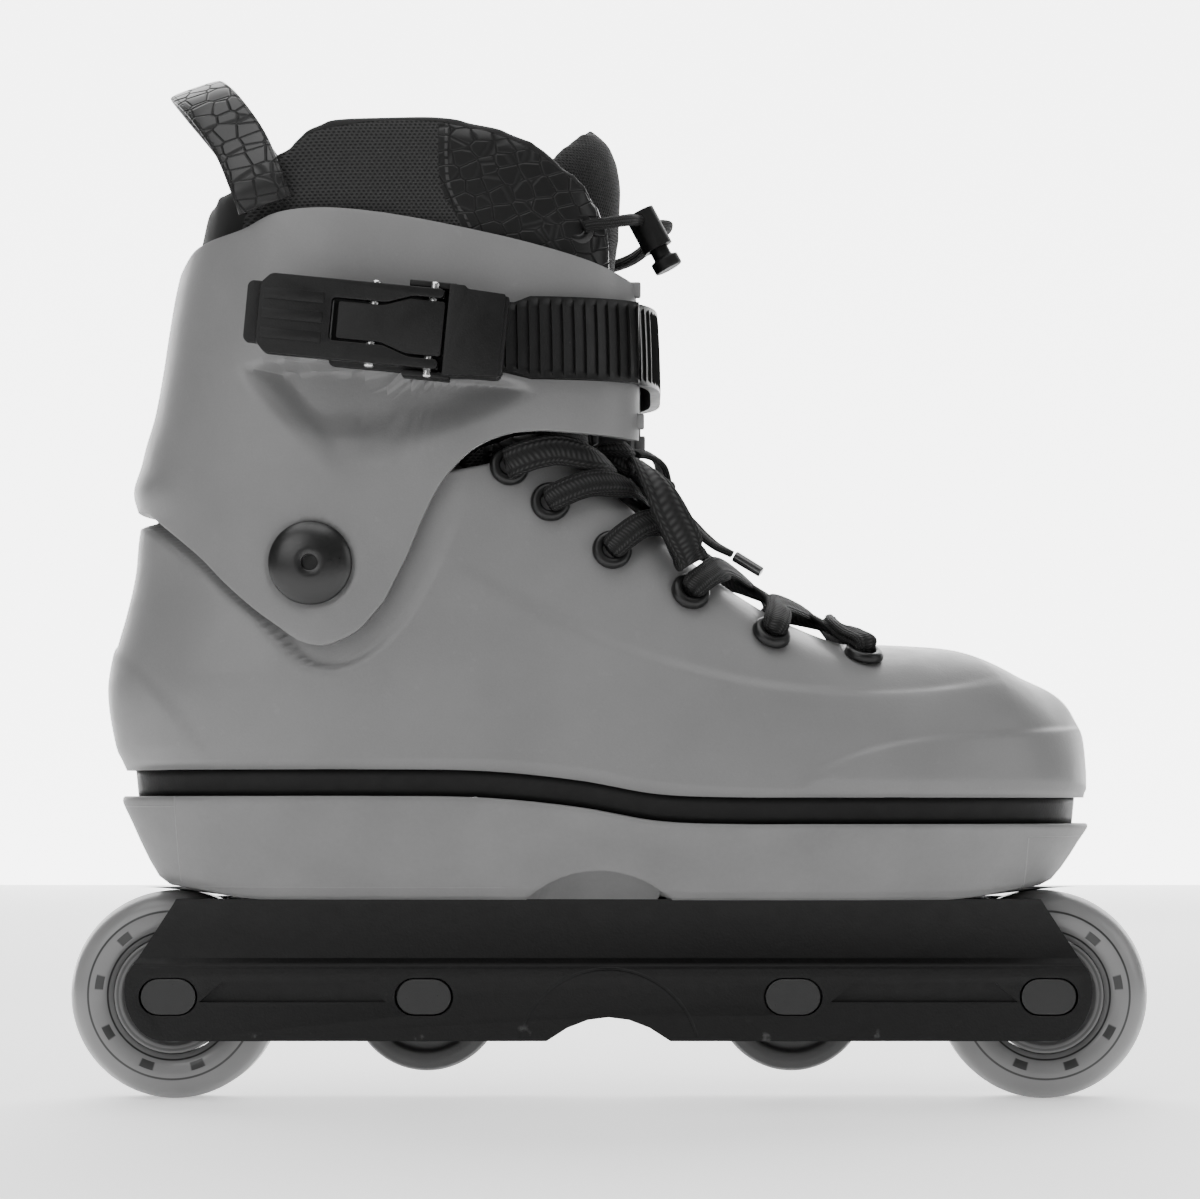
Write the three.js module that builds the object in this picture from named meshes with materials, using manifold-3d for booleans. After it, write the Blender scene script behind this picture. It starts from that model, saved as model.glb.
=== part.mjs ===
// A right-foot inline skate for street and park skating, built as an assembly of its separate pieces.
// Millimetres. +X points to the toe, +Y to the inner side of the foot, +Z up.
// The origin is on the floor, in the wheels' middle plane, halfway between the first and last axle.
import * as THREE from "three";
import Module from "manifold-3d";
import { mergeVertices } from "three/addons/utils/BufferGeometryUtils.js";

const wasm = await Module();
wasm.setup();
const V = (x, y, z) => new THREE.Vector3(x, y, z);
const rad = THREE.MathUtils.degToRad;

// ---------------------------------------------------------------- driving dimensions
const gap = 0.3; // clearance between pieces that touch in the real skate

const wheelRadius = 30;
const wheelWidth = 24;
const smallWheelRadius = 22;
const smallWheelWidth = 22;
const outerAxleX = 125.25; // half the wheelbase
const innerAxleX = 52.5;
const axleZ = wheelRadius;
const bearingOuterRadius = 11;
const bearingBoreRadius = 4.2;
const bearingWidth = 7;
const axleRadius = 3.95;
const spacerHalf = 4; // half the length of the tube between the two bearings
const hubRadius = 16.7;
const treadHalf = 6; // half the flat band that a worn-in wheel rolls on

const frameHalfWidth = 20;
const frameNeck = 18.6; // half width above the side rail
const channelHalf = 13.8; // half the slot that the wheels run in
const frameTopZ = 57.8;
const frameBottomZ = 17.4;
const deckUnderZ = 50;
const bracketBoltX = 82.5; // half of the 165 mm bolt spacing of the common frame standard
const boltShank = 3;

const soleBand = 6.8; // height of the black plate between boot and grinding plate
const soleInset = 2.6;
const plateFlare = 1.2; // how far the grinding plate stands out past the boot

const shellWall = 3.2;
const cuffWall = 3.2;
const cuffGap = 0.9; // running clearance between the cuff and the seat it leans in
const pivotX = -82;
const pivotZ = 151.5;
const pivotCapRadius = 11.6;
const pivotHoleRadius = 5;

const linerWall = 4.2;
const linerGap = 1.3;
const collarWall = 8.5;
const collarFrontWall = 5.5; // the padding thins towards the edges beside the tongue
const collarGap = 0.6;
const tongueThick = 8;
const footbedThick = 4;

const strapHeight = 22.6;
const strapThick = 3;
const buckleTilt = 5.5; // degrees, rear end up
const leverPinX = -48;
const pawlPinX = -64;
const pinRadius = 1.5;

const eyeletHoleRadius = 3.6;
const laceThick = 1.6;
const drawcordRadius = 1.6;

// ---------------------------------------------------------------- solids and meshes
function solidOf(geometry) {
  const plain = geometry.clone();
  plain.deleteAttribute("normal");
  plain.deleteAttribute("uv");
  const merged = mergeVertices(plain, 1e-4);
  const make = (flip) => {
    const triVerts = new Uint32Array(merged.index.array);
    for (let i = 0; flip && i < triVerts.length; i += 3) {
      [triVerts[i + 1], triVerts[i + 2]] = [triVerts[i + 2], triVerts[i + 1]];
    }
    return new wasm.Manifold(
      new wasm.Mesh({ numProp: 3, vertProperties: merged.attributes.position.array, triVerts }),
    );
  };
  const solid = make(false);
  return solid.volume() < 0 ? make(true) : solid;
}

function geometryOf(solid) {
  const mesh = solid.getMesh();
  const geometry = new THREE.BufferGeometry();
  geometry.setAttribute("position", new THREE.BufferAttribute(new Float32Array(mesh.vertProperties), 3));
  geometry.setIndex(new THREE.BufferAttribute(new Uint32Array(mesh.triVerts), 1));
  geometry.computeVertexNormals();
  return geometry;
}

const cut = (body, ...tools) => tools.reduce((s, t) => s.subtract(t), body);
const join = (body, ...others) => others.reduce((s, t) => s.add(t), body);

// A solid drum or a ring about an axis parallel to Y.
function drum(radius, y0, y1, x, z, segments = 20) {
  const g = new THREE.CylinderGeometry(radius, radius, y1 - y0, segments);
  return solidOf(g.translate(x, (y0 + y1) / 2, z));
}

function upright(radius, z0, z1, x, y, segments = 16) {
  const g = new THREE.CylinderGeometry(radius, radius, z1 - z0, segments).rotateX(Math.PI / 2);
  return solidOf(g.translate(x, y, (z0 + z1) / 2));
}

function block(x0, x1, y0, y1, z0, z1) {
  const g = new THREE.BoxGeometry(x1 - x0, y1 - y0, z1 - z0);
  return solidOf(g.translate((x0 + x1) / 2, (y0 + y1) / 2, (z0 + z1) / 2));
}

// A closed profile of [radius, y] points, turned about the Y axis.
function turned(profile, segments) {
  const points = [...profile, profile[0]].map(([r, y]) => new THREE.Vector2(r, y));
  return solidOf(new THREE.LatheGeometry(points, segments));
}

// A side-view outline in X and Z, extruded across Y.
function sideCut(shape, y0, y1, curveSegments = 8) {
  const g = new THREE.ExtrudeGeometry(shape, { depth: y1 - y0, bevelEnabled: false, curveSegments });
  return solidOf(g.rotateX(Math.PI / 2).translate(0, y1, 0));
}

function outline(points) {
  return new THREE.Shape(points.map(([x, z]) => new THREE.Vector2(x, z)));
}

// A closed skin over rings of points; every ring has the same number, and the ends are flat caps.
function skin(rings) {
  const count = rings[0].length;
  const centre = (ring) => ring.reduce((s, p) => s.add(p), V(0, 0, 0)).divideScalar(count);
  const vertices = rings.flat();
  const triangles = [];
  rings.slice(1).forEach((_, r) => {
    for (let i = 0; i < count; i++) {
      const a = r * count + i;
      const b = r * count + ((i + 1) % count);
      triangles.push(a, b, b + count, a, b + count, a + count);
    }
  });
  const last = (rings.length - 1) * count;
  vertices.push(centre(rings[0]), centre(rings.at(-1)));
  for (let i = 0; i < count; i++) {
    const j = (i + 1) % count;
    triangles.push(vertices.length - 2, j, i, vertices.length - 1, last + i, last + j);
  }
  const g = new THREE.BufferGeometry().setFromPoints(vertices);
  g.setIndex(triangles);
  return solidOf(g.toNonIndexed());
}

// Linear interpolation through [x, value] pairs.
function through(pairs, x) {
  const i = pairs.findIndex(([at]) => at > x);
  if (i === 0) return pairs[0][1];
  if (i < 0) return pairs.at(-1)[1];
  const [x0, a] = pairs[i - 1];
  const [x1, b] = pairs[i];
  return a + (b - a) * ((x - x0) / (x1 - x0));
}

const smooth = (x, from, to) => THREE.MathUtils.smoothstep(x, Math.min(from, to), Math.max(from, to));

// The forefoot swings a little to the inner side, as a right foot does.
const swing = (x) => 4 * smooth(x, -20, 110);

// ---------------------------------------------------------------- the foot's form
// One side of the boot, from the middle of the heel to the middle of the toe. At each station a wall
// rises from the sole line to the top line, and turns inwards by the given share of a quarter round.
const heelZ = 94.5;
const ballZ = 86.7;
const soleLine = [
  V(-140, 0, heelZ), V(-136, 17, heelZ), V(-122, 32, heelZ), V(-98, 40.5, heelZ),
  V(-66, 43, heelZ), V(-34, 44, heelZ - 0.5), V(-8, 46, heelZ - 3.1), V(14, 49, ballZ + 0.9),
  V(36, 51.5, ballZ), V(58, 52.5, ballZ), V(80, 51.5, ballZ), V(100, 47, ballZ),
  V(118, 38, ballZ), V(130, 25, ballZ), V(136, 12, ballZ), V(138, 0, ballZ),
];
const shellTop = [
  V(-134.6, 0, 169.5), V(-130.4, 19, 169.5), V(-116, 34, 170), V(-93, 43, 171),
  V(-62, 44.6, 174), V(-36, 41.6, 179), V(-16, 36, 184), V(3, 31, 172),
  V(24, 28.5, 154), V(46, 25, 139.5), V(66, 18, 131.8), V(80, 8, 131.8),
  V(92, 0, 131), V(108.5, 0, 123.8), V(127, 0, 117), V(134.5, 0, 109.5),
];
const shellTurn = [0.3, 0.3, 0.3, 0.3, 0.35, 0.45, 0.55, 0.62, 0.66, 0.72, 0.8, 0.92, 1, 1, 1, 1];
const throatStation = 12; // from here on both sides meet on the ridge

// The heel swells low down and is waisted above: [share of the height, outward offset].
const heelSwell = [[0, 0], [0.1, 2.6], [0.3, 5], [0.45, 3.8], [0.6, 1.4], [0.75, 0], [0.9, 0.4], [1, 0]];

// A point of a form, t from heel to toe and v from the sole up.
function formPoint(top, turn, t, v) {
  const sole = new THREE.CatmullRomCurve3(soleLine, false, "centripetal").getPoint(t);
  const end = new THREE.CatmullRomCurve3(top, false, "centripetal").getPoint(t);
  const bend = (Math.PI / 2) * through(turn.map((k, i) => [i / (turn.length - 1), k]), t);
  const rise = Math.sin(bend * v) ** (2 / 2.6) / Math.sin(bend) ** (2 / 2.6);
  const lean = (1 - Math.cos(bend * v) ** 0.9) / (1 - Math.cos(bend) ** 0.9);
  const p = V(
    THREE.MathUtils.lerp(sole.x, end.x, lean),
    Math.max(0, THREE.MathUtils.lerp(sole.y, end.y, lean)),
    THREE.MathUtils.lerp(sole.z, end.z, rise),
  );
  const swell = through(heelSwell, (p.z - sole.z) / (shellTop[0].z - heelZ)) * (1 - smooth(t, 0.12, 0.34));
  const away = V(p.x + 95, p.y, 0).normalize();
  return p.addScaledVector(away, swell);
}

// The half grid of a form, columns from heel to toe and rows from the sole up, with unit normals.
function formGrid(top, turn, columns, rows) {
  const ridgeFrom = Math.ceil((throatStation * columns) / (top.length - 1));
  const grid = [];
  for (let i = 0; i <= columns; i++) {
    const t = i / columns;
    const column = [];
    for (let j = 0; j <= rows; j++) column.push(formPoint(top, turn, t, j / rows));
    if (i === 0 || i === columns) column.forEach((p) => (p.y = 0));
    grid.push(column);
  }
  const mirror = (p) => V(p.x, -p.y, p.z);
  const at = (i, j) => {
    if (i < 0) return mirror(grid[1][j]);
    if (i > columns) return mirror(grid[columns - 1][j]);
    if (j > rows) return i >= ridgeFrom ? mirror(grid[i][rows - 1]) : grid[i][rows];
    return grid[i][Math.max(j, 0)];
  };
  const normals = grid.map((column, i) =>
    column.map((_, j) => {
      const along = at(i + 1, j).clone().sub(at(i - 1, j));
      const up = at(i, j + 1).clone().sub(at(i, j - 1));
      return up.cross(along).normalize();
    }),
  );
  return { grid, normals };
}

// The same grid moved inwards, with its floor lifted.
function insetGrid({ grid, normals }, depth, floor) {
  return grid.map((column, i) =>
    column.map((p, j) => {
      const moved = p.clone().addScaledVector(normals[i][j], -depth(i / (grid.length - 1)));
      if (i === 0 || i === grid.length - 1 || p.y < 1e-6) moved.y = 0;
      moved.y = Math.max(moved.y, 0);
      const lift = (column.length - 1 - j) / (column.length - 1);
      moved.z = Math.max(moved.z, column[0].z + floor * lift);
      return moved;
    }),
  );
}

// A cup-shaped wall between two half grids, open along its top line up to the throat column.
function cup(outer, inner, throat) {
  const columns = outer.length - 1;
  const rows = outer[0].length - 1;
  const triangles = [];
  const side = (p, s) => V(p.x, s * p.y + swing(p.x), p.z);
  const quad = (a, b, c, d) => {
    const corners = [a, b, c, d];
    const flat = corners.filter((p, i) => p.distanceTo(corners[(i + 1) % 4]) > 1e-3);
    if (flat.length < 3) return;
    triangles.push(flat[0], flat[1], flat[2]);
    if (flat.length === 4) triangles.push(flat[0], flat[2], flat[3]);
  };
  for (let i = 0; i < columns; i++) {
    for (const s of [1, -1]) {
      const face = (a, b, c, d) => (s > 0 ? quad(d, c, b, a) : quad(a, b, c, d));
      const o = (k, j) => side(outer[k][j], s);
      const n = (k, j) => side(inner[k][j], s);
      for (let j = 0; j < rows; j++) {
        face(o(i, j), o(i + 1, j), o(i + 1, j + 1), o(i, j + 1));
        face(n(i, j + 1), n(i + 1, j + 1), n(i + 1, j), n(i, j));
      }
      if (i < throat) face(o(i, rows), o(i + 1, rows), n(i + 1, rows), n(i, rows));
    }
    const across = (g, k, s) => side(g[k][0], s);
    quad(across(outer, i, 1), across(outer, i + 1, 1), across(outer, i + 1, -1), across(outer, i, -1));
    quad(across(inner, i, -1), across(inner, i + 1, -1), across(inner, i + 1, 1), across(inner, i, 1));
  }
  return solidOf(new THREE.BufferGeometry().setFromPoints(triangles));
}

// ---------------------------------------------------------------- boot shell
const columns = 25; // a multiple of five, so that the throat's end falls on a column
const rows = 7;
const throatColumn = (throatStation * columns) / (shellTop.length - 1);

// Upper edge of the heel counter in the side view; above it the shell steps in to seat the cuff.
const counterEdge = [
  [-150, 165.6], [-134, 164.6], [-127, 160.6], [-114.6, 150.8], [-106.3, 143.6], [-97.6, 136.8],
  [-91.4, 130.4], [-85.4, 124.8], [-79.5, 122.6], [-73, 123], [-66, 126.6], [-59, 133], [-53.6, 140],
  [-48.6, 149], [-44, 158.6], [-39.6, 167.4], [-33.6, 175.6], [-26.6, 179.8], [-10, 181], [20, 181],
];
const seatDepth = (t) => 4.2 * (1 - smooth(t, 0.3, 0.46)); // how far the shell's inside follows the seat

function buildShell() {
  const form = formGrid(shellTop, shellTurn, columns, rows);
  const inner = insetGrid(form, (t) => shellWall + seatDepth(t), shellWall);
  const seat = shaftWall({
    bottom: counterEdge, top: [[-150, 230], [20, 230]], to: 176,
    inner: () => -cuffWall - cuffGap, outer: 30, steps: 20, levels: 3,
  });
  let shell = cut(cup(form.grid, inner, throatColumn), seat);
  for (const side of [1, -1]) {
    shell = cut(shell, drum(pivotHoleRadius, side * 70 - 40, side * 70 + 40, pivotX, pivotZ, 16));
    for (const eyelet of eyelets(side)) shell = cut(shell, eyelet.hole);
  }
  return cut(shell, ...bracketHoles(80, 120));
}

// Lace holes: where they sit in the side view, from the toe up.
const eyeletPlaces = [[72.5, 127.5], [46, 132.8], [23, 143.2], [2, 154.8], [-14.5, 168.5], [-27, 179.5]];

// The point of the shell's outer surface nearest to a side-view place, with its normal.
function onShell(x, z, side) {
  let best = null;
  for (let i = 30; i <= 90; i++) {
    for (let j = 10; j <= 40; j++) {
      const p = formPoint(shellTop, shellTurn, i / 100, j / 40);
      const d = Math.hypot(p.x - x, p.z - z);
      if (!best || d < best.d) best = { d, p, t: i / 100, v: j / 40 };
    }
  }
  const step = 0.01;
  const along = formPoint(shellTop, shellTurn, best.t + step, best.v).sub(best.p);
  const up = best.p.clone().sub(formPoint(shellTop, shellTurn, best.t, best.v - step));
  const normal = up.cross(along).normalize();
  const place = V(best.p.x, side * best.p.y + swing(best.p.x), best.p.z);
  return { place, normal: V(normal.x, side * normal.y, normal.z), t: best.t, v: best.v };
}

function eyelets(side) {
  return eyeletPlaces.map(([x, z]) => {
    const { place, normal, t, v } = onShell(x, z, side);
    const turn = new THREE.Quaternion().setFromUnitVectors(V(0, 1, 0), normal);
    const g = new THREE.CylinderGeometry(eyeletHoleRadius, eyeletHoleRadius, 14, 8);
    return { place, normal, t, v, hole: solidOf(g.applyQuaternion(turn).translate(place.x, place.y, place.z)) };
  });
}

// ---------------------------------------------------------------- sole: black plate and grinding plate
// A closed outline at the sole line, moved inwards, at a height given by z(point of the sole line).
function soleRing(inset, z, count = 44) {
  const curve = new THREE.CatmullRomCurve3(soleLine, false, "centripetal");
  const half = [];
  for (let i = 0; i <= count / 2; i++) half.push(curve.getPoint(i / (count / 2)));
  half[0].y = 0;
  half.at(-1).y = 0;
  const ring = half.map((p, i) => {
    const before = i === 0 ? V(half[1].x, -half[1].y, 0) : half[i - 1];
    const after = i === half.length - 1 ? V(half[i - 1].x, -half[i - 1].y, 0) : half[i + 1];
    const n = V(before.y - after.y, after.x - before.x, 0).normalize();
    return V(p.x - n.x * inset, Math.max(0, p.y - n.y * inset), z(p));
  });
  const outerSide = ring.slice(1, -1).reverse().map((p) => V(p.x, -p.y, p.z));
  return [...ring, ...outerSide].map((p) => V(p.x, p.y + swing(p.x), p.z));
}

// A plate over rings; its top and bottom are laced across from side to side, so they may be stepped.
function plate(rings) {
  const count = rings[0].length;
  const triangles = [];
  const quad = (a, b, c, d) => triangles.push(a, b, c, a, c, d);
  rings.slice(1).forEach((ring, r) => {
    for (let i = 0; i < count; i++) {
      const j = (i + 1) % count;
      quad(rings[r][i], ring[i], ring[j], rings[r][j]);
    }
  });
  const lace = (ring, up) => {
    for (let i = 0; i < count / 2; i++) {
      const [a, b] = [ring[i], ring[i + 1]];
      const [c, d] = [ring[count - i - 1], ring[(count - i) % count]];
      const corners = up ? [a, d, c, b] : [a, b, c, d];
      const flat = corners.filter((p, k) => p !== corners[(k + 1) % 4]);
      triangles.push(flat[0], flat[1], flat[2]);
      if (flat.length === 4) triangles.push(flat[0], flat[2], flat[3]);
    }
  };
  lace(rings[0], false);
  lace(rings.at(-1), true);
  return solidOf(new THREE.BufferGeometry().setFromPoints(triangles));
}

function bracketHoles(z0, z1) {
  return [-bracketBoltX, bracketBoltX].map((x) => upright(boltShank + gap, z0, z1, x, 0));
}

function buildMidsole() {
  const under = soleRing(soleInset + 0.8, (p) => p.z - gap - soleBand);
  const over = soleRing(soleInset, (p) => p.z - gap);
  return cut(plate([under, over]), ...bracketHoles(60, 110));
}

const grindBottomZ = frameTopZ + gap;
const soulArchHalf = 20.5;
const soulArchRise = 8.3;
const soulCoreHalf = 24; // the arch is a recess in each side, with a solid core between

function buildSoulplate() {
  const top = (p) => p.z - 2 * gap - soleBand;
  const bottom = (p) => grindBottomZ + 3 * smooth(Math.abs(p.x), 100, 138);
  const part = (share) => (p) => THREE.MathUtils.lerp(bottom(p), top(p), share);
  const rings = [
    soleRing(17, bottom),
    soleRing(12.5, part(0.05)),
    soleRing(8, part(0.25)),
    soleRing(3, part(0.62)),
    soleRing(-plateFlare, part(0.92)),
    soleRing(-plateFlare + 0.6, top),
  ];
  const archRadius = (soulArchHalf ** 2 + soulArchRise ** 2) / (2 * soulArchRise);
  const archZ = grindBottomZ + soulArchRise - archRadius;
  const arches = [-80, soulCoreHalf].map((y) =>
    drum(archRadius, y, y + 80 - soulCoreHalf, -2.5, archZ, 40),
  );
  const wells = [-outerAxleX, outerAxleX].map((x) =>
    drum(wheelRadius + 1.8, -channelHalf, channelHalf, x, axleZ, 28),
  );
  return cut(plate(rings), ...arches, ...wells, ...bracketHoles(40, 110));
}

// A soft pad between the shell's floor and the heel of the liner.
const padThick = 3;
const shellFloorZ = heelZ + shellWall;

function buildHeelPad() {
  const plan = soleRing(shellWall + 9, () => shellFloorZ + gap, 32);
  const top = plan.map((p) => V(p.x, p.y, p.z + padThick));
  const heel = block(-130, -52, -60, 60, shellFloorZ, shellFloorZ + padThick + 2);
  return cut(plate([plan, top]).intersect(heel), ...bracketHoles(60, 130));
}

// ---------------------------------------------------------------- frame
const archHalf = 17.6;
const archRise = 6.8;

function frameProfile() {
  const s = new THREE.Shape();
  const end = 137.6;
  const shoulder = 123;
  s.moveTo(-shoulder, frameTopZ);
  s.lineTo(-end + 0.6, 36.4);
  s.quadraticCurveTo(-end - 1.4, 30, -end + 2, 23.5);
  s.quadraticCurveTo(-end + 5.5, frameBottomZ, -126, frameBottomZ);
  s.lineTo(-archHalf, frameBottomZ);
  s.quadraticCurveTo(0, frameBottomZ + 2 * archRise, archHalf, frameBottomZ);
  s.lineTo(126, frameBottomZ);
  s.quadraticCurveTo(end - 5.5, frameBottomZ, end - 2, 23.5);
  s.quadraticCurveTo(end + 1.4, 30, end - 0.6, 36.4);
  s.lineTo(shoulder, frameTopZ);
  s.closePath();
  return s;
}

const axleXs = [-outerAxleX, -innerAxleX, innerAxleX, outerAxleX];
const axleNames = ["rear", "mid_rear", "mid_front", "front"];
const headHalfX = 6.9;
const headHalfZ = 5.1;
const headDepth = 3.6;

// The oblong head of an axle, seen from the side.
function oblong(grow) {
  const a = headHalfX + grow;
  const b = headHalfZ + grow;
  const corner = 4.2;
  const s = new THREE.Shape();
  s.moveTo(-a + corner, -b);
  s.lineTo(a - corner, -b);
  s.absarc(a - corner, 0, b, -Math.PI / 2, Math.PI / 2);
  s.lineTo(-a + corner, b);
  s.absarc(-a + corner, 0, b, Math.PI / 2, (3 * Math.PI) / 2);
  return s;
}

function buildFrame() {
  let frame = sideCut(frameProfile(), -frameHalfWidth, frameHalfWidth, 6);
  for (const side of [1, -1]) {
    // the waist above the side rail
    const waist = new THREE.Shape([
      new THREE.Vector2(side * frameNeck, 41), new THREE.Vector2(side * (frameHalfWidth + 1), 38.5),
      new THREE.Vector2(side * (frameHalfWidth + 1), 60), new THREE.Vector2(side * frameNeck, 56),
    ]);
    const g = new THREE.ExtrudeGeometry(waist, { depth: 320, bevelEnabled: false });
    g.rotateX(Math.PI / 2).rotateZ(Math.PI / 2).translate(-160, 0, 0);
    frame = cut(frame, solidOf(g));
    // long shallow pockets between the axles
    for (const [from, to] of [[-116.5, -63.2], [63.2, 116.5]]) {
      const pocket = outline([[from, 28.5], [from + 6.5, 34], [to - 6.5, 34], [to, 28.5]]);
      const y = side * frameHalfWidth;
      frame = cut(frame, sideCut(pocket, y - 1.6, y + 1.6));
    }
  }
  // slots for the wheels, and the channel that joins them below the deck
  for (const [i, x] of axleXs.entries()) {
    const r = (i === 0 || i === 3 ? wheelRadius : smallWheelRadius) + 1.8;
    frame = cut(frame, drum(r, -channelHalf, channelHalf, x, axleZ, 28));
    frame = cut(frame, drum(axleRadius + gap, -40, 40, x, axleZ, 12));
    const pocket = sideCut(oblong(gap), -frameHalfWidth - 1, -frameHalfWidth + headDepth + gap, 5);
    frame = cut(frame, pocket.translate([x, 0, axleZ]));
    frame = cut(frame, drum(6.2, frameHalfWidth - headDepth - gap, 40, x, axleZ, 16));
  }
  for (const side of [1, -1]) {
    const ends = [side * 30, side * 150].sort((a, b) => a - b);
    frame = cut(frame, block(...ends, -channelHalf, channelHalf, 0, 33));
    const between = [side * innerAxleX, side * outerAxleX].sort((a, b) => a - b);
    frame = cut(frame, block(...between, -channelHalf, channelHalf, 0, deckUnderZ));
    const past = [side * outerAxleX, side * 160].sort((a, b) => a - b);
    frame = cut(frame, block(...past, -channelHalf, channelHalf, 0, 80));
  }
  return cut(frame, ...bracketHoles(40, 70));
}

// The bolt rises from under the frame's deck to just below the top of the shell's floor.
function buildBracketBolt(x, topZ) {
  const head = upright(5.4, deckUnderZ - gap - 4, deckUnderZ - gap, x, 0, 18);
  const shank = upright(boltShank, deckUnderZ - gap - 1, topZ, x, 0, 12);
  const socket = upright(2.3, deckUnderZ - gap - 6, deckUnderZ - gap - 1.6, x, 0, 6);
  return cut(join(head, shank), socket);
}

// ---------------------------------------------------------------- wheels, bearings and axles
function buildTyre() {
  const half = wheelWidth / 2;
  const bore = hubRadius + gap;
  const facets = 32; // one facet lies flat on the floor, and the facets' middles touch the true round
  const over = 1 / Math.cos(Math.PI / facets);
  const flank = [
    [bore, half - 1.6], [24.5, half - 0.2], [28.2 * over, half - 2.8], [wheelRadius * over, treadHalf],
  ];
  const profile = [...flank.map(([r, y]) => [r, -y]), ...flank.toReversed()];
  return turned(profile, facets).rotate([0, 180 / facets, 0]);
}

function bearingSeat(half) {
  const seat = bearingOuterRadius + gap;
  const ledge = seat - 1.9; // the ledge that keeps the two bearings apart
  return [
    [seat, half], [seat, spacerHalf], [ledge, spacerHalf], [ledge, -spacerHalf], [seat, -spacerHalf], [seat, -half],
  ];
}

const hubHalf = 11.4;

function buildHub() {
  return turned([[hubRadius, -hubHalf], [hubRadius, hubHalf], ...bearingSeat(hubHalf)], 24);
}

function buildSmallWheel() {
  const half = smallWheelWidth / 2 + 0.4;
  const edge = smallWheelRadius - 3;
  const outer = [[edge, -half], [smallWheelRadius, -half + 5], [smallWheelRadius, half - 5], [edge, half]];
  return turned([...outer, ...bearingSeat(half)], 24);
}

function buildBearing(side) {
  const [bore, rim] = [bearingBoreRadius, bearingOuterRadius];
  const [y0, y1] = [spacerHalf + gap, spacerHalf + gap + bearingWidth];
  return turned([[bore, side * y0], [rim, side * y0], [rim, side * y1], [bore, side * y1]], 14);
}

function buildSpacer() {
  const [bore, rim, half] = [bearingBoreRadius, bearingBoreRadius + 2.2, spacerHalf];
  return turned([[bore, -half], [rim, -half], [rim, half], [bore, half]], 12);
}

// The hollow axle: an oblong head that the frame holds from turning, and a threaded bore for the screw.
function buildAxle() {
  const head = sideCut(oblong(0), -frameHalfWidth + 0.2, -frameHalfWidth + headDepth, 5);
  const shaft = drum(axleRadius, -frameHalfWidth + 1, frameHalfWidth - headDepth - 1, 0, 0, 12);
  const bore = drum(3, -4, 40, 0, 0, 10);
  return cut(join(head, shaft), bore);
}

function buildAxleScrew() {
  const head = drum(5.9, frameHalfWidth - headDepth, frameHalfWidth - 0.2, 0, 0, 16);
  const shank = drum(2.7, -2, frameHalfWidth - headDepth + 1, 0, 0, 10);
  const socket = drum(2.1, frameHalfWidth - 2.6, frameHalfWidth + 5, 0, 0, 6);
  return cut(join(head, shank), socket);
}

// ---------------------------------------------------------------- the shaft's form: cuff and collar
// Side view of the cuff's outer surface: its back line, front line and half width, by height.
const backLine = [
  [120, -127], [150, -132], [169, -134.9], [184, -134.2], [196, -130.9], [208, -128.6], [219, -126.9],
  [231, -124.8], [245, -121.5], [258, -118.8], [285, -112],
];
const frontLine = [[120, 4], [170, 10], [187, 11], [213, 11], [245, 9], [285, 6]];
const halfLine = [[120, 47], [152, 47], [187, 46.6], [213, 46.6], [245, 46.2], [285, 44.5]];
const shaftMidX = -66;

// A point of the shaft, angle 0 at the back and 180 at the front, moved outwards in plan.
function shaftPoint(angle, z, out, extra = () => 0) {
  const plan = (a) => {
    const c = Math.cos(rad(a));
    const s = Math.sin(rad(a));
    const power = c > 0 ? 2 / 2.5 : 2 / 4.5;
    const reach = (c > 0 ? through(backLine, z) : through(frontLine, z)) - shaftMidX;
    return V(shaftMidX + reach * Math.abs(c) ** power, through(halfLine, z) * Math.abs(s) ** power, z);
  };
  const p = plan(angle);
  const ahead = plan(Math.min(angle + 0.5, 180));
  const behind = plan(Math.max(angle - 0.5, 0));
  const n = V(behind.y - ahead.y, ahead.x - behind.x, 0).normalize();
  if (angle < 0.5) n.set(-1, 0, 0);
  if (angle > 179.5) n.set(1, 0, 0);
  return p.addScaledVector(n, out + extra(p));
}

// The height at which the shaft's column at an angle meets a side-view line of [x, z] points.
function heightOn(line, angle, out) {
  let z = 200;
  for (let i = 0; i < 24; i++) z += 0.6 * (through(line, shaftPoint(angle, z, out).x) - z);
  return z;
}

// A wall of the shaft between two side-view lines. It runs from an angle on the outer side of the foot
// round to one on the inner side, either by way of the back (negative to positive) or of the front.
function shaftWall({ bottom, top, from, to, inner, outer, steps, levels, extra, at = 0 }) {
  const start = from ?? -to;
  const rings = Array.from({ length: steps + 1 }, (_, i) => {
    const signed = start + ((to - start) * i) / steps;
    const wrapped = signed > 180 ? signed - 360 : signed;
    const angle = Math.abs(wrapped);
    const side = wrapped < 0 ? -1 : 1;
    const z0 = heightOn(bottom, angle, at);
    const z1 = heightOn(top, angle, at);
    const place = (j, out) => {
      const p = shaftPoint(angle, z0 + ((z1 - z0) * j) / levels, out, extra);
      return V(p.x, side * p.y, p.z);
    };
    const ring = [];
    for (let j = 0; j <= levels; j++) ring.push(place(j, outer));
    for (let j = levels; j >= 0; j--) ring.push(place(j, inner(angle)));
    return ring;
  });
  return skin(rings);
}

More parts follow.
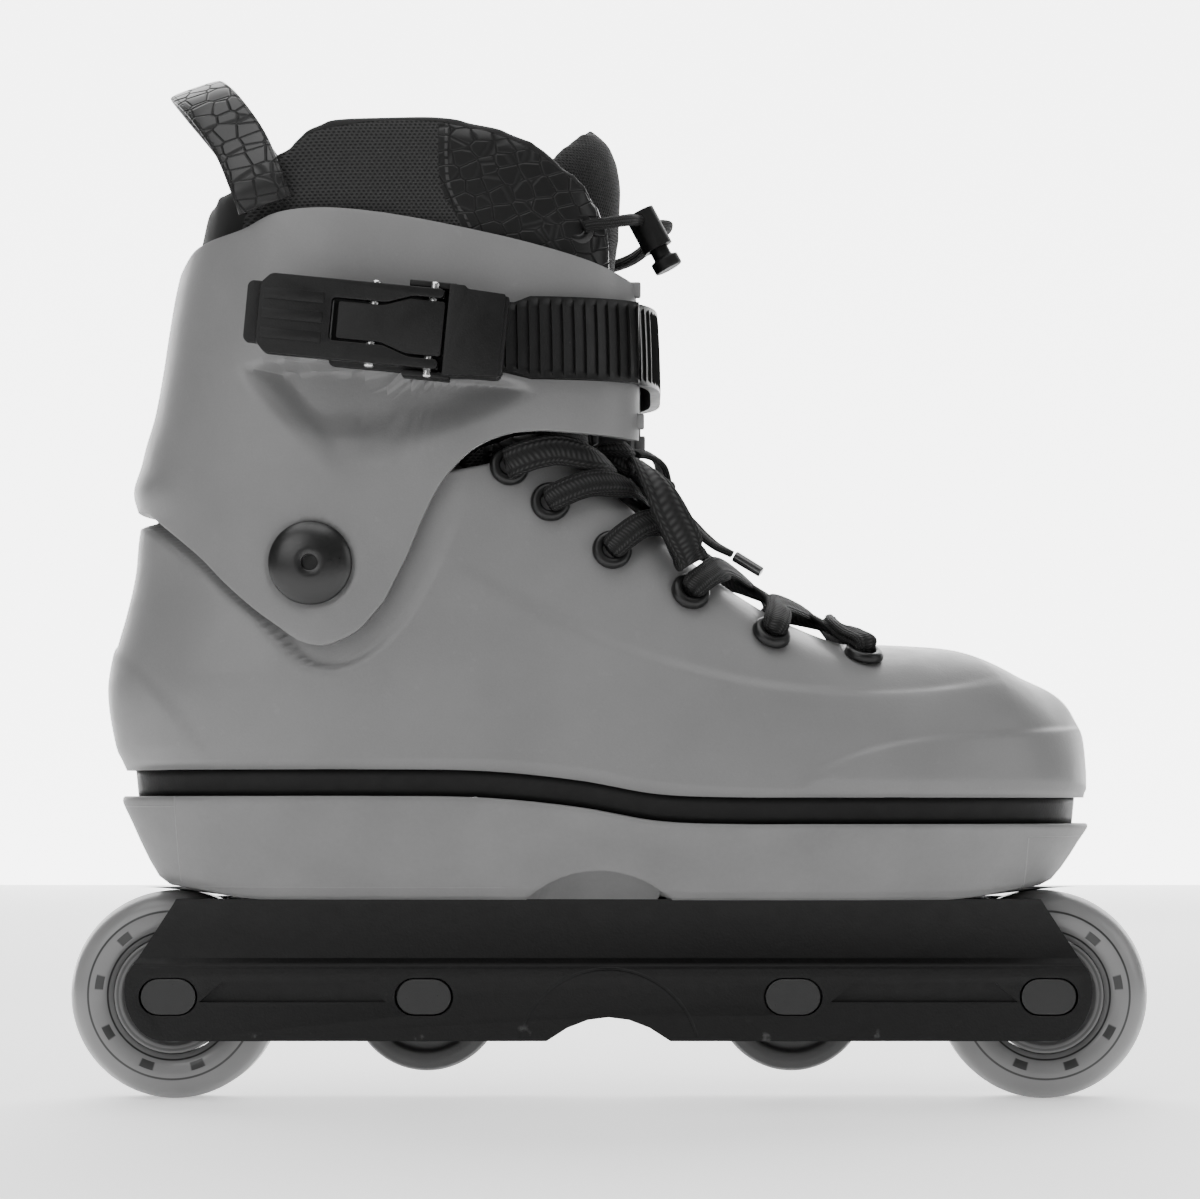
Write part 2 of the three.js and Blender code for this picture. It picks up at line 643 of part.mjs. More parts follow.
// ---------------------------------------------------------------- cuff
const cuffLower = [
  [-150, 168.5], [-137, 168.6], [-131, 168], [-127, 164.5], [-113.8, 153.7], [-106.3, 146.2], [-98, 139],
  [-91.6, 134.4], [-85.3, 130.2], [-79.5, 128.8], [-74.5, 130], [-68.7, 133.2], [-63.1, 139],
  [-58.6, 146.5], [-54, 156.7], [-50.4, 165.6], [-45.9, 173.9], [-40.7, 180.2], [-35.7, 184.2],
  [-27.7, 187.4], [-19.9, 188.4], [-8.3, 188], [6.4, 187.2], [20, 187],
];
const cuffUpper = [
  [-150, 230], [-126, 232.5], [-121.7, 236.6], [-116.4, 241.4], [-101.6, 245.1], [-93.3, 248.7],
  [-85, 250], [-73.9, 249.9], [-57.3, 247.9], [-29.6, 242.3], [-13, 238.2], [-1.9, 234.9], [9.2, 230.5],
  [20, 229],
];
const cuffFrontAngle = 159; // degrees round from the back where the cuff's wings end

function buildCuff() {
  // the lower back edge kicks out a little
  const lip = (p) => 2 * Math.exp(-(((p.z - 174) / 6) ** 2)) * (1 - smooth(p.x, -134, -112));
  let cuff = shaftWall({
    bottom: cuffLower, top: cuffUpper, to: cuffFrontAngle, inner: () => -cuffWall, outer: 0,
    steps: 44, levels: 4, extra: lip,
  });
  for (const side of [1, -1]) {
    cuff = cut(cuff, drum(pivotHoleRadius, side * 70 - 40, side * 70 + 40, pivotX, pivotZ, 16));
  }
  return cut(cuff, strapScrewHole());
}

// A domed pivot bolt through cuff and shell, with a hexagon socket.
const pivotFace = through(halfLine, pivotZ);

function buildPivotBolt() {
  const face = pivotFace + 0.5 + gap;
  const profile = [[0.01, 0], [pivotCapRadius, 0], [pivotCapRadius, 1], [8.5, 2.6], [0.01, 3.6]];
  const head = turned(profile.map(([r, y]) => [r, y + face]), 20);
  const shank = drum(pivotHoleRadius - gap, pivotFace - cuffWall - cuffGap - 2.4, face + 0.6, 0, 0, 14);
  const socket = drum(2.6, face + 1.2, face + 12, 0, 0, 6);
  return cut(join(head, shank), socket);
}

// ---------------------------------------------------------------- liner: foot, collar and tongue
// The liner is one padded bootie. It is split on an arc about the cuff's pivot, so that its collar
// leans with the cuff.
const splitRadius = 50;
const splitClear = 1.2;

function buildLinerFoot() {
  const form = formGrid(shellTop, shellTurn, columns, rows);
  const skinDepth = (t) => shellWall + seatDepth(t) + linerGap;
  const floor = shellWall + gap + padThick + gap;
  const outer = insetGrid(form, skinDepth, floor);
  const inner = insetGrid(form, (t) => skinDepth(t) + linerWall, floor + linerWall);
  const foot = cup(outer, inner, throatColumn);
  const above = outline([[-150, 172], [-36, 172], [-10, 168], [30, 150], [30, 220], [-150, 220]]);
  const over = sideCut(above, -80, 80);
  const inArc = drum(splitRadius - splitClear, -80, 80, pivotX, pivotZ, 40);
  const toeRoom = block(shellTop.at(-1).x - shellWall - 6.4, 160, -80, 80, 80, 160);
  return cut(foot, over.subtract(inArc), toeRoom);
}

const collarTop = [
  [-150, 254], [-118, 256], [-108, 259], [-97, 264], [-90, 270.5], [-84, 275], [-77, 276.9],
  [-57.5, 278.9], [-38, 276.7], [-25.6, 272.8], [-18.3, 268.8], [-10.3, 263.3], [-3.9, 257], [0.8, 250.6],
  [3.3, 242.9], [6.4, 233], [20, 230],
];
const collarBottom = [[-150, 160], [-52, 160], [-46, 183], [-30, 186], [-10, 190], [20, 191]];

function buildLinerCollar() {
  const outer = -cuffWall - collarGap;
  // below the cuff's rim the collar steps in, to stay inside the shell
  const step = (p) => -(cuffGap + shellWall + 4.4) * (1 - smooth(p.z, 187, 203));
  const wall = (a) => THREE.MathUtils.lerp(collarWall, collarFrontWall, smooth(a, 120, 155));
  const collar = shaftWall({
    bottom: collarBottom, top: collarTop, to: cuffFrontAngle - 5, inner: (a) => outer - wall(a), outer,
    at: outer, steps: 30, levels: 6, extra: step,
  });
  return cut(collar, drum(splitRadius, -80, 80, pivotX, pivotZ, 40));
}

// The tongue's middle line, from under the toe of the throat up the shin: [x, z, half width, sag].
const tongueLine = [
  [66, 124, 10, 2], [53, 132.4, 14, 4], [37, 142.2, 18, 6], [20, 153.7, 21, 8], [6.1, 164.6, 23, 9],
  [-3.6, 176.6, 23, 8], [-7.6, 190.2, 22, 8], [-6, 207, 24, 10], [-1, 225, 27, 13], [2.5, 246, 27, 15],
  [4, 264, 27, 17], [1.5, 275, 26, 19], [-5, 281, 22, 18],
];

function buildTongue() {
  const steps = 6;
  const rings = tongueLine.map(([x, z, half, sag], i) => {
    const [x0, z0] = tongueLine[Math.max(i - 1, 0)];
    const [x1, z1] = tongueLine[Math.min(i + 1, tongueLine.length - 1)];
    const along = V(x1 - x0, 0, z1 - z0).normalize();
    const out = V(along.z, 0, -along.x);
    const thick = tongueThick * (i === 0 ? 0.5 : 1);
    const layer = (depth) =>
      Array.from({ length: steps + 1 }, (_, k) => {
        const u = (2 * k) / steps - 1;
        return V(x, u * half, z).addScaledVector(out, -sag * u * u - depth);
      });
    return [...layer(0), ...layer(thick).reverse()];
  });
  return skin(rings);
}

function buildFootbed() {
  const z0 = shellFloorZ + gap + padThick + gap + linerWall + gap;
  const under = soleRing(shellWall + linerGap + linerWall + 7, (p) => p.z + z0 - heelZ, 36);
  const over = under.map((p) => V(p.x, p.y, p.z + footbedThick));
  return plate([under, over]).intersect(block(-120, 118, -60, 60, 80, 130));
}

// ---------------------------------------------------------------- heel pull loop
// A band along points, as wide as given in one fixed direction.
function band(points, across, width, thick) {
  const half = across.clone().normalize().multiplyScalar(width / 2);
  const rings = points.map((p, i) => {
    const along = points[Math.min(i + 1, points.length - 1)].clone().sub(points[Math.max(i - 1, 0)]);
    const up = along.cross(half).normalize().multiplyScalar(thick / 2);
    const corner = (a, b) => p.clone().addScaledVector(half, a).addScaledVector(up, b);
    return [corner(1, 1), corner(-1, 1), corner(-1, -1), corner(1, -1)];
  });
  return skin(rings);
}

const loopWidth = 15.5;

function buildHeelLoop() {
  const foot = through(halfLine, 250) - cuffWall - collarGap + gap + 1;
  const half = [
    V(-95, -foot + 0.6, 251), V(-97.5, -foot, 258), V(-103, -35, 270), V(-111, -26, 281.5), V(-117.5, -13, 288.8),
  ];
  const apex = V(-119.6, 0, 291);
  const route = [...half, apex, ...half.toReversed().map((p) => V(p.x, -p.y, p.z))];
  const curve = new THREE.CatmullRomCurve3(route, false, "centripetal");
  return band(curve.getPoints(20), V(0.947, 0, 0.32), loopWidth, 2);
}

// ---------------------------------------------------------------- ladder strap
const strapMid = (x) => 213.4 + 0.06 * Math.max(0, -25 - x);
// The strap is cut narrower where it enters the buckle and at its screwed end.
const strapEndShare = 0.84;
const strapLine = (offset) => [
  [-110, strapMid(-110) + strapEndShare * offset], [-25.5, strapMid(-25.5) + strapEndShare * offset],
  [-21, strapMid(-21) + offset], [30, strapMid(30) + offset],
];
const strapFrom = 180 + 86; // the free end lies in the buckle's base
const strapTo = 84; // the fixed end is screwed to the inner side of the cuff
const strapLift = 2.9; // the strap runs over the buckle's floor and over the cuff's edges
const strapScrewX = -52;

// In front the strap leaves the cuff's wings and is drawn in against the tongue.
const drawnIn = (p) => -2.2 * smooth(p.x, 8.6, 10.6);

function buildStrap() {
  const half = strapHeight / 2;
  const strap = shaftWall({
    bottom: strapLine(-half), top: strapLine(half), from: strapTo, to: strapFrom,
    inner: () => strapLift, outer: strapLift + strapThick, steps: 36, levels: 1, extra: drawnIn,
  });
  return cut(strap, drum(strapScrewRadius + gap, 20, 80, strapScrewX, strapMid(strapScrewX), 12));
}

const strapScrewRadius = 2.2;

function strapScrewHole() {
  return drum(strapScrewRadius + gap, 20, 80, strapScrewX, strapMid(strapScrewX), 12);
}

function buildStrapScrew() {
  const seat = through(halfLine, 213) + strapLift + strapThick + gap;
  const head = drum(5.5, seat, seat + 2.2, strapScrewX, strapMid(strapScrewX), 18);
  const tip = seat - strapLift - strapThick - cuffWall;
  const shank = drum(strapScrewRadius, tip, seat + 0.5, strapScrewX, strapMid(strapScrewX), 12);
  const slot = drum(2, seat + 1, seat + 9, strapScrewX, strapMid(strapScrewX), 6);
  return cut(join(head, shank), slot);
}

function buildStrapWasher() {
  // the strap's fixed end stands off the cuff on a washer
  const y = through(halfLine, 213) + gap;
  const ring = drum(6.5, y, y + strapLift - 2 * gap, strapScrewX, strapMid(strapScrewX), 18);
  return cut(ring, strapScrewHole());
}

// ---------------------------------------------------------------- ratchet buckle
// Built level, with the cuff's outer face at y = 0, outwards along -Y, and the lever's pin at x = z = 0.
const buckleFloor = 2;
const leverHalf = 11;
const baseHalf = leverHalf + 2.2;
const baseDeep = 11.4;
const pinY = -8.6;
const pawlY = -9.6;

function drumZ(radius, z0, z1, x, y, segments = 12) {
  return upright(radius, z0, z1, x, y, segments);
}

function buckleBase() {
  const pinHole = drumZ(pinRadius + gap, -20, 20, 0, pinY);
  const floor = block(-30, 20, -buckleFloor, 0, -baseHalf, baseHalf);
  const wall = (z) => block(-9, 20, -baseDeep, -buckleFloor + 0.5, z - 0.9, z + 0.9);
  const bridge = block(8, 19, -baseDeep, -baseDeep + 2.2, -baseHalf, baseHalf);
  return cut(join(floor, wall(baseHalf - 0.9), wall(-baseHalf + 0.9), bridge), pinHole);
}

function buckleLever() {
  const long = 47.5;
  const plateBody = block(-long, 2.6, -12.6, -9, -leverHalf, leverHalf);
  const window = block(-22.5, 0.2, -20, 0, -5.6, 5.6);
  const ears = (z) => drumZ(3.2, z - 2.4, z + 2.4, 0, pinY);
  const body = join(cut(plateBody, window), ears(leverHalf - 2.6), ears(-leverHalf + 2.6));
  const slot = block(-long - 1, -long + 4.4, -20, -11.2, -8.6, 8.6);
  const pawlHoles = drumZ(pinRadius + gap, -leverHalf - 3, leverHalf + 3, pawlPinX - leverPinX, pawlY, 12);
  return cut(body, slot, drumZ(pinRadius + gap, -20, 20, 0, pinY), pawlHoles);
}

function buckleRelease() {
  const x = -47.5;
  return block(x - 3, x + 3.8, -12.9, -11.2 - gap, -8.2, 8.2);
}

function bucklePawl() {
  const x = pawlPinX - leverPinX;
  const barrel = drumZ(3, -5, 5, x, pawlY);
  const nose = block(x + 1, x + 14, -11, -8.4, -5, 5);
  const tooth = block(x + 10.5, x + 14, -9, -6.6, -5, 5);
  return cut(join(barrel, nose, tooth), drumZ(pinRadius + gap, -20, 20, x, pawlY, 12));
}

// ---------------------------------------------------------------- lace
// A flat lace along [x, y, z] points; a second list gives the way its face looks at each of them. A
// pinched lace is narrower by that share at both ends, where a knot or a tip gathers it.
function flatLace(points, faces, width, samples, pinch = 0) {
  const curve = new THREE.CatmullRomCurve3(points, false, "centripetal");
  const rings = Array.from({ length: samples + 1 }, (_, i) => {
    const t = i / samples;
    const at = t * (points.length - 1);
    const k = Math.min(Math.floor(at), points.length - 2);
    const face = faces[k].clone().lerp(faces[k + 1], at - k);
    const along = curve.getTangent(t);
    const across = along.clone().cross(face).normalize();
    const up = across.clone().cross(along).normalize();
    const gathered = 1 - pinch * (1 - smooth(Math.min(t, 1 - t), 0, 0.14));
    const corner = (a, b) =>
      curve.getPoint(t)
        .addScaledVector(across, (a * gathered * width) / 2)
        .addScaledVector(up, (b * laceThick) / 2);
    return [corner(1, 1), corner(-1, 1), corner(-1, -1), corner(1, -1)];
  });
  return skin(rings);
}

// A lace strand leaves its hole, rides over the shell and its throat's edge, and reaches the middle of
// the tongue. The shares say where along the foot each strand crosses the edge, from the toe up.
const edgeShares = [0.66, 0.605, 0.555, 0.505, 0.468, 0.44];
const strandWidth = 7;
const holeLift = 1.7;
const edgeLift = 2.5;
const middleLift = 1.2;
const laceOut = V(0.75, 0, 0.66);
const sliver = 0.05;

// Where a strand starts, one layer being half a lace higher than the one below it.
function laceStart({ place, normal, t, v }, index, side, layer) {
  const share = edgeShares[index];
  const over = formPoint(shellTop, shellTurn, (t + share) / 2, (v + 1) / 2);
  const edge = formPoint(shellTop, shellTurn, share, 1);
  const placed = (p) => V(p.x, side * p.y + swing(p.x), p.z);
  const lift = (layer * laceThick) / 2;
  return {
    points: [
      place.clone().addScaledVector(normal, holeLift + lift),
      placed(over).addScaledVector(normal, edgeLift + lift),
      placed(edge).addScaledVector(V(0.3, 0, 0.95), edgeLift + lift),
    ],
    faces: [normal, normal, normal.clone().lerp(laceOut, 0.5)],
  };
}

function strand(from, to) {
  const middle = from.points.at(-1).clone().add(to.points.at(-1)).multiplyScalar(0.5);
  middle.addScaledVector(laceOut, middleLift);
  const route = [...from.points, middle, ...to.points.toReversed()];
  return flatLace(route, [...from.faces, laceOut, ...to.faces.toReversed()], strandWidth, 12);
}

const knotPlace = V(0.5, -8, 182.5);

function buildLace() {
  const sides = [-1, 1].map((side) => ({ side, row: eyelets(side) }));
  const start = (which, i, layer) => laceStart(sides[which].row[i], i, sides[which].side, layer);
  const last = eyeletPlaces.length - 1;
  let lace = strand(start(0, 0, 2), start(1, 0, 2));
  for (let i = 0; i < last; i++) {
    lace = join(lace, strand(start(0, i, 0), start(1, i + 1, 0)), strand(start(1, i, 1), start(0, i + 1, 1)));
  }
  const knot = new THREE.SphereGeometry(5.4, 8, 6).scale(1.05, 1.1, 0.95);
  lace = join(lace, solidOf(knot.translate(...knotPlace)));
  // the topmost strands run from the last holes into the knot
  for (const { points, faces } of [start(0, last, 2), start(1, last, 2)]) {
    lace = join(lace, flatLace([...points, knotPlace], [...faces, laceOut], strandWidth, 8));
  }
  // slivers left where strands cross are merged away
  return lace.simplify(sliver).decompose().toSorted((a, b) => b.volume() - a.volume())[0];
}

const outerLoopWidth = 10;
const innerLoopWidth = 8;
const endWidth = 7;
const knotPinch = 0.55;

const outerLoop = [
  V(8, -17.6, 182.6), V(10.4, -25.6, 179.8), V(14.4, -34.8, 173.4), V(18.2, -41, 165), V(21.6, -43.6, 158),
  V(23, -42.5, 153.8), V(23.4, -39.6, 152.6), V(22.4, -37.2, 154.6), V(20.6, -36.6, 159.5), V(17, -34.6, 166.4),
  V(14, -28, 173.2), V(10.4, -20.8, 176.8), V(7.8, -16.4, 178),
];
const outerLoopFaces = [
  V(0.5, -0.5, 0.7), V(0.5, -0.6, 0.6), V(0.4, -0.8, 0.5), V(0.2, -0.95, 0.2), V(0.3, -0.95, 0),
  V(0.8, -0.5, -0.4), V(0.4, 0.2, -0.9), V(-0.3, 0.9, -0.3), V(-0.2, 0.95, -0.1), V(-0.4, 0.8, -0.5),
  V(-0.5, 0.6, -0.6), V(-0.5, 0.5, -0.7), V(-0.5, 0.5, -0.7),
];

const innerLoop = [
  V(7.4, -4, 186), V(10.2, 1, 186.4), V(13.6, 8, 185.4), V(15.6, 17, 182), V(16, 27, 175.6), V(16.4, 35, 169),
  V(16.4, 41.4, 163), V(14.4, 43.6, 160.6), V(12.4, 42, 163.4), V(11.4, 37.6, 170), V(9.4, 30, 176.4),
  V(6.8, 19, 181.6), V(5, 8, 184.4), V(4.6, 0.6, 186.4),
];
const innerLoopFaces = [
  V(0.5, 0.1, 0.85), V(0.6, 0.2, 0.8), V(0.7, 0.4, 0.6), V(0.8, 0.4, 0.4), V(0.7, 0.6, 0.4), V(0.5, 0.8, 0.2),
  V(0.4, 0.9, -0.2), V(0, 0.4, -0.9), V(-0.4, -0.9, -0.2), V(-0.5, -0.8, -0.2), V(-0.7, -0.6, -0.4),
  V(-0.8, -0.4, -0.4), V(-0.7, -0.2, -0.7), V(-0.6, 0, -0.8),
];

const outerEnd = [
  V(8.7, -11, 180), V(13.4, -13, 175.4), V(18, -16, 170.4), V(22.6, -20, 165.6), V(26.6, -23, 161.2),
  V(30.2, -25, 158), V(35, -26, 155.4),
];
const outerEndFaces = outerEnd.map(() => V(0.4, -0.3, 0.9));
const innerEnd = [
  V(7, -5.1, 180.8), V(8.6, 1, 179), V(10.6, 7.6, 177.6), V(14, 11, 176.8), V(16.4, 8, 177.4),
  V(16.6, 2.4, 178.2), V(15.4, -2.6, 178.6),
];
const innerEndFaces = innerEnd.map(() => V(0.3, 0, 0.95));

// The moulded tip of a lace end, continuing the end's last direction.
function buildAglet(route, length, drop) {
  const end = route.at(-1);
  const along = end.clone().sub(route.at(-2)).add(V(0, 0, drop)).normalize();
  const g = new THREE.CylinderGeometry(1.5, 1.6, length, 10);
  g.applyQuaternion(new THREE.Quaternion().setFromUnitVectors(V(0, 1, 0), along));
  const centre = end.clone().addScaledVector(along, gap * 3 + length / 2);
  return solidOf(g.translate(centre.x, centre.y, centre.z));
}

// ---------------------------------------------------------------- liner's drawcord and its lock
const lockTop = V(8.7, -16, 253.6);
const lockBottom = V(15.7, -16, 240.6);
const lockRadius = 4.4;
const lockAxis = lockTop.clone().sub(lockBottom).normalize();
const drawcordRoute = [
  V(-6.5, -40, 245.6), V(-2, -39, 246.6), V(5.5, -31, 249), V(7.6, -22, 250.6), V(10.2, -16, 250.8),
  V(13, -8.5, 251), V(16, -2, 252.4), V(16.6, 6, 253), V(13, 14, 251.6), V(10.4, 22, 249.4),
  V(5.5, 31, 247.4), V(-2, 39, 246.2), V(-6.5, 40, 245.6),
];

// A cylinder along the lock's axis, between two distances below its top.
function alongLock(radius, from, to, segments = 16) {
  const g = new THREE.CylinderGeometry(radius, radius, to - from, segments);
  g.applyQuaternion(new THREE.Quaternion().setFromUnitVectors(V(0, 1, 0), lockAxis));
  const centre = lockTop.clone().addScaledVector(lockAxis, -(from + to) / 2);
  return solidOf(g.translate(centre.x, centre.y, centre.z));
}

const lockLength = 11.6;
const lockWallBelow = 5.4; // the bore for the plunger starts this far below the lock's top

function buildLockBarrel() {
  const barrel = alongLock(lockRadius, 0, lockLength);
  const bore = alongLock(3.1, lockWallBelow, lockLength + 2, 14);
  return cut(barrel, bore, drawcordPath(drawcordRadius + gap));
}

function buildLockPlunger() {
  const stem = alongLock(2.7, lockWallBelow + 3.2, lockLength + 3.6, 14);
  const button = alongLock(4.2, lockLength + 3.2, lockLength + 6.6, 16);
  return join(stem, button);
}

function drawcordPath(radius) {
  const curve = new THREE.CatmullRomCurve3(drawcordRoute, false, "centripetal");
  const section = new THREE.Shape(
    Array.from({ length: 8 }, (_, i) => new THREE.Vector2(
      radius * Math.cos((i * Math.PI) / 4), radius * Math.sin((i * Math.PI) / 4),
    )),
  );
  return solidOf(new THREE.ExtrudeGeometry(section, { steps: 26, bevelEnabled: false, extrudePath: curve }));
}

// ---------------------------------------------------------------- assembly
const skate = new THREE.Group();

const finishes = {
  greyShell: [0x8e8e8e, 0.45, 0],
  greyPlate: [0x8c8c8c, 0.5, 0],
  blackPlastic: [0x1c1c1c, 0.5, 0],
  urethane: [0x9a9a9a, 0.35, 0],
  blackWheel: [0x2a2a2a, 0.5, 0],
  steel: [0xb8b8b8, 0.3, 0.9],
  blackSteel: [0x101010, 0.3, 0.6],
  foam: [0x202020, 0.9, 0],
  mesh: [0x262626, 0.9, 0],
  lace: [0x1a1a1a, 0.85, 0],
};
const materials = Object.fromEntries(
  Object.entries(finishes).map(([name, [color, roughness, metalness]]) => [
    name,
    new THREE.MeshStandardMaterial({ color, roughness, metalness }),
  ]),
);

function add(name, solid, finish, place = [0, 0, 0], turn = null) {
  const mesh = new THREE.Mesh(geometryOf(solid), materials[finish]);
  mesh.name = name;
  mesh.position.set(...place);
  if (turn) mesh.rotation.set(...turn);
  skate.add(mesh);
  return mesh;
}

add("shell", buildShell(), "greyShell");
add("midsole", buildMidsole(), "blackPlastic");
add("soulplate", buildSoulplate(), "greyPlate");
add("heel_shock_pad", buildHeelPad(), "foam");
add("frame", buildFrame(), "blackPlastic");
add("frame_bolt_rear", buildBracketBolt(-bracketBoltX, heelZ + shellWall - 2), "blackSteel");
add("frame_bolt_front", buildBracketBolt(bracketBoltX, ballZ + shellWall - 2), "blackSteel");

const tyre = buildTyre();
const hub = buildHub();
const smallWheel = buildSmallWheel();
axleXs.forEach((x, i) => {
  const name = axleNames[i];
  const at = [x, 0, axleZ];
  if (i === 0 || i === 3) {
    add("tyre_" + name, tyre, "urethane", at);
    add("hub_" + name, hub, "urethane", at);
  } else {
    add("small_wheel_" + name, smallWheel, "blackWheel", at);
  }
  add("bearing_" + name + "_outer", buildBearing(-1), "steel", at);
  add("bearing_" + name + "_inner", buildBearing(1), "steel", at);
  add("bearing_spacer_" + name, buildSpacer(), "steel", at);
  add("axle_" + name, buildAxle(), "blackSteel", at);
  add("axle_screw_" + name, buildAxleScrew(), "blackSteel", at);
});

add("cuff", buildCuff(), "greyShell");
add("cuff_pivot_bolt_outer", buildPivotBolt(), "blackSteel", [pivotX, 0, pivotZ], [0, 0, Math.PI]);
add("cuff_pivot_bolt_inner", buildPivotBolt(), "blackSteel", [pivotX, 0, pivotZ]);

add("liner_foot", buildLinerFoot(), "mesh");
add("liner_collar", buildLinerCollar(), "mesh");
add("tongue", buildTongue(), "mesh");
add("footbed", buildFootbed(), "foam");
add("heel_pull_loop", buildHeelLoop(), "mesh");
add("ladder_strap", buildStrap(), "blackPlastic");
add("strap_screw", buildStrapScrew(), "blackSteel");
add("strap_washer", buildStrapWasher(), "blackPlastic");

add("lace", buildLace(), "lace");
add("lace_loop_outer", flatLace(outerLoop, outerLoopFaces, outerLoopWidth, 26, knotPinch), "lace");
add("lace_loop_inner", flatLace(innerLoop, innerLoopFaces, innerLoopWidth, 26, knotPinch), "lace");
add("lace_end_outer", flatLace(outerEnd, outerEndFaces, endWidth, 12, knotPinch), "lace");
add("lace_end_inner", flatLace(innerEnd, innerEndFaces, endWidth, 12, knotPinch), "lace");
add("aglet_outer", buildAglet(outerEnd, 9, -0.4), "blackPlastic");
add("aglet_inner", buildAglet(innerEnd, 7.6, -6), "blackPlastic");
add("drawcord", drawcordPath(drawcordRadius), "lace");
add("cord_lock_barrel", buildLockBarrel(), "blackPlastic");
add("cord_lock_plunger", buildLockPlunger(), "blackPlastic");

const buckle = new THREE.Group();
const buckleZ = strapMid(leverPinX);
buckle.position.set(leverPinX, -through(halfLine, buckleZ) - gap, buckleZ);
buckle.rotation.y = rad(buckleTilt);
skate.add(buckle);
function addToBuckle(name, solid, finish) {
  buckle.add(add(name, solid, finish));
}
addToBuckle("buckle_base", buckleBase(), "blackPlastic");
addToBuckle("buckle_lever", buckleLever(), "blackPlastic");
addToBuckle("buckle_release_tab", buckleRelease(), "blackPlastic");
addToBuckle("buckle_drive_pawl", bucklePawl(), "blackPlastic");
addToBuckle("buckle_lever_pin", drumZ(pinRadius, -baseHalf, baseHalf, 0, pinY, 10), "steel");
const pawlPin = drumZ(pinRadius, -leverHalf - 1, leverHalf + 1, pawlPinX - leverPinX, pawlY, 10);
addToBuckle("buckle_pawl_pin", pawlPin, "steel");

export default skate;
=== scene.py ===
# A right-foot inline skate for street and park skating, dressed over its CAD frame.
# Metres. +X points to the toe, +Y to the inner side of the foot, +Z up, as in the frame.
import bisect
from math import cos, exp, hypot, pi, radians, sin

import bmesh
import bpy
from mathutils import Matrix, Vector


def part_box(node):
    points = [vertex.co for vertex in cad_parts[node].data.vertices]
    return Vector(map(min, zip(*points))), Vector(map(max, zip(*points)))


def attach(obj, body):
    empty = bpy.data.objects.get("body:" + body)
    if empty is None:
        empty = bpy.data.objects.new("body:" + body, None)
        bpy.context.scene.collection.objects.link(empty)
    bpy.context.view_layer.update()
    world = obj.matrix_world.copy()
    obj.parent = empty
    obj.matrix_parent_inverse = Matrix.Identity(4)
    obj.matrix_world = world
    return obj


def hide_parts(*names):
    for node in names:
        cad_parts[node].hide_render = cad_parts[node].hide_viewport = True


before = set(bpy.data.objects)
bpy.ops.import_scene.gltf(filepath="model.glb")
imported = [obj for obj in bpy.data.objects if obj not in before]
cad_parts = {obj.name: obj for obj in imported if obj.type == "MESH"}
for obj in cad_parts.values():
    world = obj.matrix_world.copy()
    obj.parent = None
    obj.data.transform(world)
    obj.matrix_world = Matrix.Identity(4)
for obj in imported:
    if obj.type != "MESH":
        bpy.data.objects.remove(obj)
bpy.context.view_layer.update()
mm = 0.001

# ---------------------------------------------------------------- studio
# A pale floor with a faint grain and glow in front of a lit backdrop, an overhead softbox with three
# cards round the skate, and a long lens level with the boot.
class Wire:
    """A shader socket that can be added, multiplied and compared like a number."""

    def __init__(self, finish, socket):
        self.finish, self.socket = finish, socket

    def maths(self, operation, *others, first=None):
        values = [self, *others] if first is None else [first, self]
        return self.finish.node("ShaderNodeMath", {"operation": operation}, dict(enumerate(values)))

    def __add__(self, other): return self.maths("ADD", other)
    def __sub__(self, other): return self.maths("SUBTRACT", other)
    def __mul__(self, other): return self.maths("MULTIPLY", other)
    def __truediv__(self, other): return self.maths("DIVIDE", other)
    def __mod__(self, other): return self.maths("FLOORED_MODULO", other)
    def __radd__(self, other): return self.maths("ADD", first=other)
    def __rsub__(self, other): return self.maths("SUBTRACT", first=other)
    def __rmul__(self, other): return self.maths("MULTIPLY", first=other)
    def __rtruediv__(self, other): return self.maths("DIVIDE", first=other)
    def __abs__(self): return self.maths("ABSOLUTE")
    def wave(self): return self.maths("SINE")
    def root(self): return self.maths("SQRT")

    def step(self, start, end):
        """0 before start, 1 after end, and smooth between them."""
        limits = {"From Min": start, "From Max": end}
        return self.finish.node(
            "ShaderNodeMapRange", {"interpolation_type": "SMOOTHSTEP"}, {"Value": self, **limits}
        )


